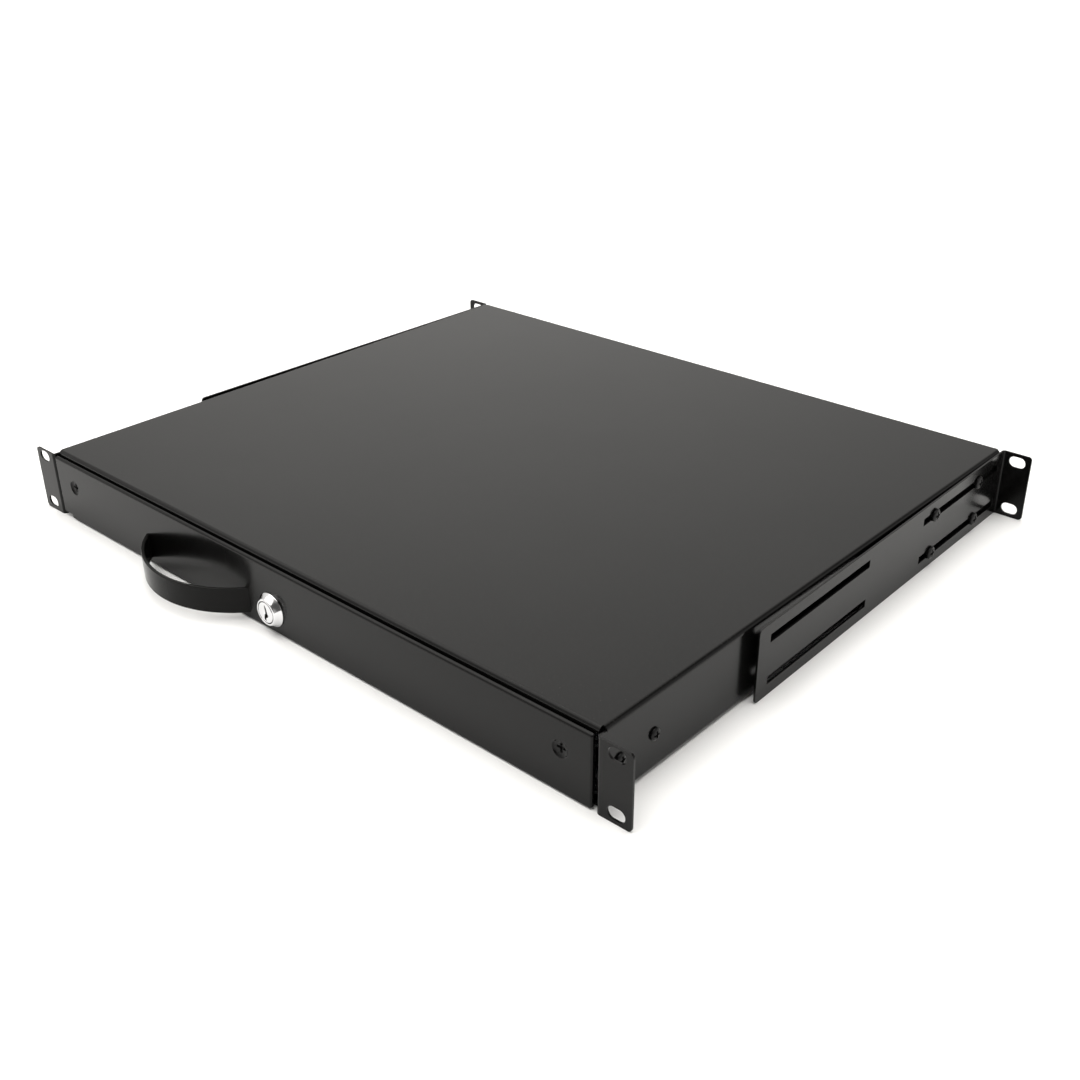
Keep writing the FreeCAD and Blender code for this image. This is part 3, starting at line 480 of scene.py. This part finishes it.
def channel_line(web, lip, ball, rise, sag):
    """Midline of a rolled channel from its upper to its lower lip, as X and Z.

    Each flange is a parabola about the line of the balls, off by sag at its lip. A quadratic
    curve bends it into the upright web, and the lower half mirrors the upper.
    """
    turn = math.copysign(SLIDE_BEND, lip - web)
    flange = np.linspace(lip, web + turn, FLANGE_STATIONS)
    level = rise + sag * ((flange - ball) / (lip - ball)) ** 2
    start = np.array([flange[-1], level[-1]])
    corner = np.array([web, level[-1]])
    end = corner - (0, SLIDE_BEND)
    share = np.linspace(0, 1, BEND_STATIONS)[1:, None]
    bend = (1 - share) ** 2 * start + 2 * share * (1 - share) * corner + share ** 2 * end
    upper = np.concatenate([np.stack([flange, level], axis=-1), bend])
    return np.concatenate([upper, upper[::-1] * (1, -1)])


def strip_outline(line, gauge):
    """Outline of a strip about its midline: half the gauge to each side, square to the line."""
    along = np.gradient(line, axis=0)
    across = np.stack([along[:, 1], -along[:, 0]], axis=-1)
    across *= gauge / 2 / np.linalg.norm(along, axis=1, keepdims=True)
    return np.concatenate([line + across, (line - across)[::-1]])


def capped_tube(rings):
    """Rings of points joined in their order, with the first and the last each closed by one face."""
    rows, columns = rings.shape[:2]
    first = list(range(columns))
    last = [number + (rows - 1) * columns for number in first]
    return rings.reshape(-1, 3), grid_faces(rows, columns, ring=True).tolist() + [first, last]


def carried_along_y(outline, start, end):
    """A closed outline in X and Z carried from start to end along Y, with both ends closed."""
    return capped_tube(np.stack([np.insert(outline, 1, place, axis=1) for place in (start, end)]))


def rolled_channel(node, balls, web_at_wall, sag):
    """One slide member: its midline, from the node's box and the balls' line, as a strip along Y."""
    low, high = (np.array(corner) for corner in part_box(node))
    ball_low, ball_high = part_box(balls)
    near, far = sorted((low[0], high[0]), key=abs)
    web, lip = (far, near) if web_at_wall else (near, far)
    web_middle = web + math.copysign(SLIDE_GAUGE / 2, lip - web)
    line = channel_line(web_middle, lip, (ball_low.x + ball_high.x) / 2, high[2] - SLIDE_GAUGE / 2, sag)
    shape = carried_along_y(strip_outline(line, SLIDE_GAUGE), low[1], high[1])
    piece = new_piece(node.replace("slide_", "rolled_"), *shape, (slide_steel,))
    round_edges(piece, SLIDE_EDGE_ROUND)
    stand_in(piece, node)


for hand in ("left", "right"):
    rolled_channel(f"{hand}_slide_outer", f"{hand}_outer_balls", True, OUTER_RACE_SAG)
    rolled_channel(f"{hand}_slide_middle", f"{hand}_outer_balls", True, INNER_RACE_SAG)
    rolled_channel(f"{hand}_slide_inner", f"{hand}_inner_balls", False, INNER_RACE_SAG)

# Ball cages and balls
# Thin plated strip folded to a channel and pierced for two rows of polished bearing balls, which
# it keeps apart between two slide members.
CAGE_DARK = (0.26, 0.25, 0.24, 1.0)
CAGE_LIGHT = (0.34, 0.33, 0.31, 1.0)
CAGE_ROUGHNESS = (0.42, 0.52)
BALL_DARK = (0.58, 0.58, 0.59, 1.0)
BALL_LIGHT = (0.66, 0.66, 0.67, 1.0)
BALL_ROUGHNESS = (0.08, 0.14)
BALL_GRAIN_DEPTH = 0.0005 * MM
cage_steel = finish("cage_strip", CAGE_DARK, CAGE_LIGHT, CAGE_ROUGHNESS, SLIDE_GRAIN_SCALE,
                    SLIDE_GRAIN_DEPTH, metallic=1.0)
ball_steel = finish("bearing_balls", BALL_DARK, BALL_LIGHT, BALL_ROUGHNESS, SLIDE_GRAIN_SCALE,
                    BALL_GRAIN_DEPTH, metallic=1.0)


def dress_node(node, material):
    """Gives a CAD node that is shown as it is its finish."""
    mesh = nodes[node].data
    mesh.materials.clear()
    mesh.materials.append(material)


for hand in ("left", "right"):
    for row in ("outer", "inner"):
        dress_node(f"{hand}_{row}_cage", cage_steel)
        dress_node(f"{hand}_{row}_balls", ball_steel)

# Rear brackets
# L-shaped plates of coated sheet with two rows of adjusting slots and the rear rack ear. Each is
# held by four black pan-head screws in clinch nuts on the inside of the chassis wall.
BRACKET_SCREW_SHANK = 2.0 * MM
ZINC_DARK = (0.50, 0.51, 0.53, 1.0)
ZINC_LIGHT = (0.62, 0.63, 0.66, 1.0)
ZINC_ROUGHNESS = (0.20, 0.34)
NUT_CHAMFER_SHARE = 1.04
NUT_CHAMFER_SLOPE = math.tan(math.radians(30))
NUT_MOUTH = 0.3 * MM
NUT_COLUMNS = 96
bright_zinc = finish("bright_zinc", ZINC_DARK, ZINC_LIGHT, ZINC_ROUGHNESS, SLIDE_GRAIN_SCALE,
                     SLIDE_GRAIN_DEPTH, metallic=1.0)
coated_sheet("left_bracket_sheet", "left_rear_bracket")
coated_sheet("right_bracket_sheet", "right_rear_bracket")
pan_screws("bracket_screw_heads", "bracket_screws", BRACKET_SCREW_SHANK, heads_outside=True)


def nut(half_flats, bore, thickness):
    """A hexagon nut along +Y from its seat, with a flat on top.

    Around each turn its side stands at half the flats' distance, over the cosine of the angle from
    the nearest flat's middle. A cone trims the corners at both ends, and a small one the bore.
    """
    angle = np.arange(NUT_COLUMNS) * 2 * math.pi / NUT_COLUMNS
    side = half_flats / np.cos(angle % (math.pi / 3) - math.pi / 6)
    trimmed = np.minimum(side, half_flats * NUT_CHAMFER_SHARE)
    drop = (side - trimmed) * NUT_CHAMFER_SLOPE
    plain = np.ones(NUT_COLUMNS)
    radius = np.stack([plain * bore, plain * (bore + NUT_MOUTH), trimmed, side, side, trimmed,
                       plain * (bore + NUT_MOUTH), plain * bore, plain * bore])
    along = np.stack([plain * NUT_MOUTH, plain * 0, plain * 0, drop, thickness - drop,
                      plain * thickness, plain * thickness, plain * (thickness - NUT_MOUTH),
                      plain * NUT_MOUTH])
    points = np.stack([radius * np.cos(angle), along, radius * np.sin(angle)], axis=-1)
    return points.reshape(-1, 3), grid_faces(len(radius), NUT_COLUMNS, ring=True).tolist()


nut_spots, nut_size = seats_along_x("bracket_nuts", 0, heads_outside=True)
clinch_nut = nut(nut_size[2] / 2, BRACKET_SCREW_SHANK, nut_size[0])
clinch_nuts = new_piece("clinch_nuts", *repeated(*clinch_nut, nut_spots), (bright_zinc,))
round_edges(clinch_nuts, SLIDE_EDGE_ROUND)
stand_in(clinch_nuts, "bracket_nuts")

# Drawer tray
# A shallow folded tray of coated sheet, with tabs that carry the drawer front, hung on the inner
# slide members by screws from inside.
coated_sheet("tray_sheet", "drawer_tray")
pan_screws("tray_screw_heads", "tray_slide_screws", SLIDE_SCREW_SHANK, heads_outside=False)

# Drawer front
# A flat plate of thicker sheet, notched at its lower left corner and coated like the rest. Two
# sunk black screws hold it to the tray's tabs.
FRONT_EDGE_ROUND = 0.35 * MM
FRONT_SCREW_SHANK = 3.0 * MM
FRONT_SCREW_DISH = 0.9 * MM
coated_sheet("front_plate", "drawer_front", FRONT_EDGE_ROUND)
sunk_solids = solids_of("front_panel_screws")
sunk_spots = [(np.array([(low[0] + high[0]) / 2, low[1], (low[2] + high[2]) / 2]), 0)
              for low, high in sunk_solids]
sunk_size = sunk_solids[0][1] - sunk_solids[0][0]
sunk_radius = sunk_size[0] / 2
sunk_screw = screw(sunk_radius, -FRONT_SCREW_DISH, 0, sunk_radius - FRONT_SCREW_SHANK,
                   FRONT_SCREW_SHANK, sunk_size[1])
sunk_screws = new_piece("front_screw_heads", *repeated(*sunk_screw, sunk_spots), (screw_black,))
round_edges(sunk_screws, SCREW_EDGE_ROUND)
stand_in(sunk_screws, "front_panel_screws")

# Bow handle
# A flat steel strap bent to one arc, with a tongue at each end welded into the front. It has a
# smoother and glossier black coat than the sheets.
STRAP_GAUGE = 2.0 * MM
STRAP_EDGE_ROUND = 0.55 * MM
STRAP_STATIONS = 97
CORNER_STEPS = 6
TONGUE_WIDTH = 1.8 * MM
TONGUE_HEIGHT = 9.5 * MM
TONGUE_INSET = 0.3 * MM
STRAP_DARK = (0.0080, 0.0080, 0.0078, 1.0)
STRAP_LIGHT = (0.0100, 0.0100, 0.0098, 1.0)
STRAP_ROUGHNESS = (0.14, 0.18)
STRAP_GLOSS = 0.065
STRAP_PEEL_DEPTH = 0.004 * MM
strap_coat = finish("strap_coat", STRAP_DARK, STRAP_LIGHT, STRAP_ROUGHNESS, COAT_PEEL_SCALE,
                    STRAP_PEEL_DEPTH, gloss=STRAP_GLOSS)


def rounded_rectangle(left, right, low, high, radius):
    """Outline of a rectangle, each of its corners drawn as a quarter circle."""
    quarter = np.linspace(0, math.pi / 2, CORNER_STEPS)
    turns = np.arange(4) * math.pi / 2
    angle = (turns[:, None] + quarter[None, :]).reshape(-1)
    centres = np.array([(right - radius, high - radius), (left + radius, high - radius),
                        (left + radius, low + radius), (right - radius, low + radius)])
    return (np.repeat(centres, CORNER_STEPS, axis=0)
            + radius * np.stack([np.cos(angle), np.sin(angle)], axis=-1))


def bow_strap():
    """A strap on one arc, its ends cut flush with the front.

    Its section, a rounded rectangle of radius and height, is carried round the arc's centre. Each
    of its points starts and stops where its own circle meets the front.
    """
    low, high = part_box("bow_handle")
    half_span = (high.x - low.x) / 2
    bow = -low.y
    outer = (half_span ** 2 / bow + bow) / 2
    centre = outer - bow
    section = rounded_rectangle(outer - STRAP_GAUGE, outer, low.z, high.z, STRAP_EDGE_ROUND)
    radius = section[:, 0]
    lean = np.arcsin(centre / radius)
    share = np.linspace(0, 1, STRAP_STATIONS)[:, None]
    angle = math.pi + lean + share * (math.pi - 2 * lean)
    middle = (low.x + high.x) / 2
    return capped_tube(np.stack([middle + radius * np.cos(angle), centre + radius * np.sin(angle),
                                 np.broadcast_to(section[:, 1], angle.shape)], axis=-1))


def tongue(side):
    """One of the strap's tongues: a rounded rectangle at the strap's end, straight through the front."""
    low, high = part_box("bow_handle")
    outer = (low.x, high.x)[side > 0] - side * TONGUE_INSET
    inner = outer - side * TONGUE_WIDTH
    level = (low.z + high.z) / 2
    outline = rounded_rectangle(min(outer, inner), max(outer, inner), level - TONGUE_HEIGHT / 2,
                                level + TONGUE_HEIGHT / 2, CUT_EDGE_ROUND)
    return carried_along_y(outline, 0, high.y)


def joined(*shapes):
    """Several shapes in one list of points and faces."""
    points = np.concatenate([shape[0] for shape in shapes])
    starts = np.cumsum([0] + [len(shape[0]) for shape in shapes[:-1]])
    faces = [[number + int(start) for number in face]
             for start, shape in zip(starts, shapes) for face in shape[1]]
    return points, faces


strap = new_piece("handle_strap", *joined(bow_strap(), tongue(-1), tongue(1)), (strap_coat,))
strap.data.set_sharp_from_angle(angle=CUT_EDGE_ANGLE)
flat_shading(strap, keep_sharp=True)
stand_in(strap, "bow_handle")

# Cam lock
# A chromed die-cast cylinder with a flared collar, clamped in the front by a hexagon nut. Its
# plug turns with the key and carries a flat zinc-plated cam on a square tenon, held by a screw.
CHROME_DARK = (0.66, 0.66, 0.67, 1.0)
CHROME_LIGHT = (0.74, 0.74, 0.75, 1.0)
CHROME_ROUGHNESS = (0.07, 0.13)
CHROME_GRAIN_DEPTH = 0.0006 * MM
# The keyway's walls and floor and the groove round the plug's face get a near-black material: painted
# shade, standing in for the shade deep in these narrow recesses.
PAINTED_SHADE_DARK = (0.010, 0.009, 0.008, 1.0)
PAINTED_SHADE_LIGHT = (0.020, 0.018, 0.016, 1.0)
PAINTED_SHADE_ROUGHNESS = (0.45, 0.60)
PLUG_RADIUS = 6.5 * MM
PLUG_CLEARANCE = 0.06 * MM
PLUG_EDGE = 0.15 * MM
PLUG_EDGE_ROUND = PLUG_EDGE / 3
FACE_WALL = 1.1 * MM
FACE_EDGE = 0.3 * MM
COLLAR_RIM = 0.8 * MM
COLLAR_WAIST = 0.25 * MM
FLARE_START = 0.1
FLARE_END = 0.92
FLARE_STEPS = 12
BARREL_WALL = 1.5 * MM
BARREL_THREAD_START = 2.2 * MM
GROOVE_WIDTH = 0.42 * MM
GROOVE_DEPTH = 0.9 * MM
LATHE_COLUMNS = 96
KEYWAY_LEVELS = np.array((-5.2, -4.2, -3.3, -2.4, -1.4, -0.5, 0.6, 2.0, 3.3, 4.5)) * MM
KEYWAY_MIDDLES = np.array((-0.1, -0.5, -0.5, 0.3, 0.7, 0.8, 0.65, 0.4, 0.0, -0.4)) * MM
KEYWAY_HALVES = np.array((0.85, 0.90, 0.75, 1.40, 1.55, 0.85, 0.65, 0.65, 0.60, 0.55)) * MM
KEYWAY_CLOSING_POWER = 8
KEYWAY_EDGE = 0.10 * MM
KEYWAY_DEPTH = 3.6 * MM
TENON_HALF = 2.5 * MM
CAM_EDGE_ROUND = 0.3 * MM
CAM_SCREW_HEAD = 1.6 * MM
CAM_SCREW_RIM = 0.7 * MM
CAM_SCREW_SHANK = 1.5 * MM
chrome = finish("lock_chrome_plate", CHROME_DARK, CHROME_LIGHT, CHROME_ROUGHNESS,
                SLIDE_GRAIN_SCALE, CHROME_GRAIN_DEPTH, metallic=1.0)
painted_recess_shade = finish("painted_recess_shade", PAINTED_SHADE_DARK, PAINTED_SHADE_LIGHT, PAINTED_SHADE_ROUGHNESS,
                      SLIDE_GRAIN_SCALE, SLIDE_GRAIN_DEPTH)


def lathe(profile, place):
    """A half profile of radius and Y, closed on itself, turned about the axis along Y at place."""
    angle = np.arange(LATHE_COLUMNS) * 2 * math.pi / LATHE_COLUMNS
    ring = np.concatenate([profile, profile[:1]])
    radius, along = ring[:, :1], ring[:, 1:]
    points = np.stack([radius * np.cos(angle), np.broadcast_to(along, (len(ring), LATHE_COLUMNS)),
                       radius * np.sin(angle)], axis=-1).reshape(-1, 3)
    return points + place, grid_faces(len(ring), LATHE_COLUMNS, ring=True).tolist()


def shade_bands(piece, bands):
    """Gives the painted shade, the second material, to the faces of some bands, counted in rounds of the
    lathe's columns.
    """
    band = np.arange(len(piece.data.polygons)) // LATHE_COLUMNS
    piece.data.polygons.foreach_set("material_index", np.isin(band, bands).astype(np.int32))


housing_low, housing_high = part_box("lock_housing")
lock_axis = np.array([(housing_low.x + housing_high.x) / 2, 0, (housing_low.z + housing_high.z) / 2])
collar_radius = (housing_high.x - housing_low.x) / 2
lock_front, lock_back = housing_low.y, housing_high.y
barrel_radius = PLUG_RADIUS + BARREL_WALL
plug_bore = PLUG_RADIUS + PLUG_CLEARANCE
thread_place, barrel_groove = thread_line(BARREL_THREAD_START, lock_back)
face_radius = PLUG_RADIUS + FACE_WALL
flare = np.linspace(FLARE_START, FLARE_END, FLARE_STEPS)
flare_radius = (face_radius + flare * (collar_radius - face_radius)
                - 4 * COLLAR_WAIST * flare * (1 - flare))
flare_place = lock_front + flare * (-COLLAR_RIM - lock_front)
housing_profile = np.concatenate([
    [(plug_bore, lock_back), (plug_bore, lock_front + GROOVE_DEPTH),
     (plug_bore, lock_front + PLUG_EDGE), (plug_bore + PLUG_EDGE, lock_front),
     (face_radius - FACE_EDGE, lock_front)],
    np.stack([flare_radius, flare_place], axis=-1),
    [(collar_radius, -COLLAR_RIM), (collar_radius, 0), (barrel_radius, 0)],
    np.stack([barrel_radius - barrel_groove, thread_place], axis=-1)])
# The housing's bore band at the groove gets the painted shade.
housing_band_in_painted_shade = 1
housing = new_piece("lock_cylinder", *lathe(housing_profile, lock_axis), (chrome, painted_recess_shade))
shade_bands(housing, housing_band_in_painted_shade)
round_edges(housing, SLIDE_EDGE_ROUND)
stand_in(housing, "lock_housing")


def keyway_outline(turn):
    """Points round a winding keyway, as X and Z, for turn from 0 to 1 clockwise from its top.

    The height falls with the cosine of the turn. The slot's middle and its half width are drawn
    straight between a few levels, and the width closes at both ends with a high power.
    """
    foot, top = KEYWAY_LEVELS[0], KEYWAY_LEVELS[-1]
    share = np.cos(2 * math.pi * turn)
    height = (top + foot) / 2 + share * (top - foot) / 2
    middle = np.interp(height, KEYWAY_LEVELS, KEYWAY_MIDDLES)
    width = np.interp(height, KEYWAY_LEVELS, KEYWAY_HALVES) * (1 - share ** KEYWAY_CLOSING_POWER)
    side = np.where(turn < 0.5, 1, -1)
    return np.stack([middle + side * width, height], axis=-1)


def plug_rings():
    """Rings of the plug from its tenon to the keyway's floor, each as points clockwise from the top.

    Circles make the body, squares the tenon. A step leaves a groove round the face, where the ring
    changes from the circle to the winding keyway, which then goes straight in.
    """
    turn = np.arange(LATHE_COLUMNS) / LATHE_COLUMNS
    circle = np.stack([np.sin(2 * math.pi * turn), np.cos(2 * math.pi * turn)], axis=-1)
    square = circle / np.abs(circle).max(axis=1, keepdims=True) * TENON_HALF
    slot = keyway_outline(turn)
    tenon_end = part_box("lock_plug")[1].y
    floor = lock_front + KEYWAY_DEPTH
    face = PLUG_RADIUS - GROOVE_WIDTH
    rings = [(square, tenon_end), (square, lock_back), (circle * PLUG_RADIUS, lock_back),
             (circle * PLUG_RADIUS, lock_front + GROOVE_DEPTH),
             (circle * face, lock_front + GROOVE_DEPTH),
             (circle * face, lock_front + PLUG_EDGE),
             (circle * (face - PLUG_EDGE), lock_front),
             (slot, lock_front), (slot, lock_front + KEYWAY_EDGE), (slot, floor)]
    return np.stack([np.insert(ring, 1, along, axis=1) for ring, along in rings])


# The plug's bands in painted shade are the floor and wall of its groove, the keyway's walls and
# the two end faces after them, of which the tenon's, the first of the two, stays bright.
plug_bands_in_painted_shade = (3, 4, 7, 8, 9)
plug = new_piece("lock_plug_face", *capped_tube(plug_rings() + lock_axis), (chrome, painted_recess_shade))
shade_bands(plug, plug_bands_in_painted_shade)
plug.data.polygons[-2].material_index = 0
round_edges(plug, PLUG_EDGE_ROUND)
stand_in(plug, "lock_plug")

nut_low, nut_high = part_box("lock_nut")
lock_nut_place = np.array([lock_axis[0], nut_low.y, lock_axis[2]])
lock_nut_shape = nut((nut_high.z - nut_low.z) / 2, barrel_radius, nut_high.y - nut_low.y)
lock_nut = new_piece("lock_clamp_nut", lock_nut_shape[0] + lock_nut_place, lock_nut_shape[1],
                     (bright_zinc,))
round_edges(lock_nut, SLIDE_EDGE_ROUND)
stand_in(lock_nut, "lock_nut")

cam = new_piece("cam_plate", *triangles_of("lock_cam"), (bright_zinc,), flatten=True)
round_edges(cam, CAM_EDGE_ROUND)
stand_in(cam, "lock_cam")

cam_screw_low, cam_screw_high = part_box("cam_screw")
cam_screw_radius = (cam_screw_high.x - cam_screw_low.x) / 2
cam_screw_length = cam_screw_high.y - cam_screw_low.y - CAM_SCREW_HEAD
cam_screw_shape = screw(cam_screw_radius, CAM_SCREW_HEAD, CAM_SCREW_RIM, 0, CAM_SCREW_SHANK,
                        cam_screw_length)
cam_screw_seat = np.array([lock_axis[0], cam_screw_high.y - CAM_SCREW_HEAD, lock_axis[2]])
cam_screw = new_piece("cam_screw_head", *repeated(*cam_screw_shape, [(cam_screw_seat, 2)]),
                      (bright_zinc,))
round_edges(cam_screw, SCREW_EDGE_ROUND)
stand_in(cam_screw, "cam_screw")

# Photo stand
# A white floor under a wide soft glow from above and from the left, as in a photo tent, and the
# camera where the photograph was taken from.
CAMERA_PLACE = (507.8 * MM, -350.9 * MM, 356.8 * MM)
CAMERA_AZIMUTH = math.radians(42.21)
CAMERA_ELEVATION = math.radians(28.09)
CAMERA_ROLL = math.radians(-0.49)
CAMERA_LENS = 43.68
FLOOR_REACH = 60.0
FLOOR_WHITE = (0.91, 0.91, 0.91, 1.0)
FLOOR_GREY = (0.90, 0.90, 0.90, 1.0)
FLOOR_ROUGHNESS = (0.7, 0.8)
FLOOR_GRAIN_SCALE = 60.0
FLOOR_GRAIN_DEPTH = 0.0
SOFTBOX_PLACE = (-1.6, -0.9, 2.2)
SOFTBOX_WIDTH = 1.6
SOFTBOX_HEIGHT = 1.6
SOFTBOX_WATTS = 3.0
TENT_COLOUR = (1.0, 0.985, 0.955, 1.0)
TENT_FILL = 0.107
# Each glow of the tent: the way towards it, the cosines off that way between which it rises from
# nothing to its full strength, and that strength.
TENT_GLOWS = {
    "ceiling": ((0.0, 0.0, 1.0), (0.82, 0.95), 2.59),
    "ceiling_left": ((-0.22, -0.12, 0.97), (0.76, 0.86), 1.60),
    "high_rear_left": ((-0.40, 0.40, 0.82), (0.80, 0.95), 0.72),
    "middle_rear_left": ((-0.52, 0.60, 0.61), (0.80, 0.95), 0.40),
    "wide_rear_left": ((-0.67, 0.64, 0.38), (0.10, 0.75), 0.085),
    "wide_rear": ((-0.30, 0.93, 0.20), (0.50, 0.90), 0.13),
    "low_rear_left": ((-0.55, 0.82, 0.12), (0.80, 0.96), 0.23),
    "wide_left": ((-0.95, 0.0, 0.30), (0.50, 0.90), 0.32),
    "wide_front_left": ((-0.60, -0.70, 0.30), (0.50, 0.90), 0.70),
    "low_right": ((0.97, 0.20, 0.10), (0.60, 0.90), 0.59),
    "low_rear_right": ((0.80, 0.55, 0.15), (0.70, 0.92), 0.35),
}


def aim(place, target):
    """A light's matrix at place, facing the target along its own -Z."""
    back = np.array(place, float) - np.array(target, float)
    back /= np.linalg.norm(back)
    side = np.cross((0, 0, 1), back)
    side /= np.linalg.norm(side)
    up = np.cross(back, side)
    turn = Matrix(np.stack([side, up, back], axis=-1).tolist()).to_4x4()
    return Matrix.Translation(place) @ turn


softbox = bpy.data.lights.new("key_softbox", "AREA")
softbox.shape = "RECTANGLE"
softbox.size = SOFTBOX_WIDTH
softbox.size_y = SOFTBOX_HEIGHT
softbox.energy = SOFTBOX_WATTS
softbox_object = bpy.data.objects.new("key_softbox", softbox)
bpy.context.scene.collection.objects.link(softbox_object)
softbox_object.matrix_world = aim(SOFTBOX_PLACE, (cad_box[0] + cad_box[1]) / 2)

world = bpy.data.worlds.new("photo_tent")
world.use_nodes = True
bpy.context.scene.world = world
tent = world.node_tree
direction = shade_node(tent, "ShaderNodeTexCoord").outputs["Generated"]
tent_light = TENT_FILL
for name, (way, span, strength) in TENT_GLOWS.items():
    towards = shade_node(tent, "ShaderNodeVectorMath")
    towards.operation = "DOT_PRODUCT"
    feed(tent, direction, towards.inputs[0])
    feed(tent, way, towards.inputs[1])
    total = shade_node(tent, "ShaderNodeMath")
    total.label = name
    feed(tent, spread(tent, towards.outputs["Value"], span, 0.0, strength), total.inputs[0])
    feed(tent, tent_light, total.inputs[1])
    tent_light = total.outputs["Value"]
backdrop = tent.nodes["Background"]
feed(tent, TENT_COLOUR, backdrop.inputs["Color"])
feed(tent, tent_light, backdrop.inputs["Strength"])

floor_level = cad_box[0].z
floor_points = np.array([(-1, -1, 0), (1, -1, 0), (1, 1, 0), (-1, 1, 0)]) * FLOOR_REACH
floor_white = finish("floor_white", FLOOR_GREY, FLOOR_WHITE, FLOOR_ROUGHNESS, FLOOR_GRAIN_SCALE,
                     FLOOR_GRAIN_DEPTH)
floor = new_piece("floor", floor_points + (0, 0, floor_level), [(0, 1, 2, 3)], (floor_white,))

camera_data = bpy.data.cameras.new("camera")
camera_data.lens = CAMERA_LENS
camera = bpy.data.objects.new("camera", camera_data)
bpy.context.scene.collection.objects.link(camera)
camera.matrix_world = (Matrix.Translation(CAMERA_PLACE)
                       @ Matrix.Rotation(CAMERA_AZIMUTH, 4, "Z")
                       @ Matrix.Rotation(math.pi / 2 - CAMERA_ELEVATION, 4, "X")
                       @ Matrix.Rotation(CAMERA_ROLL, 4, "Z"))
bpy.context.scene.camera = camera
bpy.context.scene.view_settings.view_transform = "Standard"
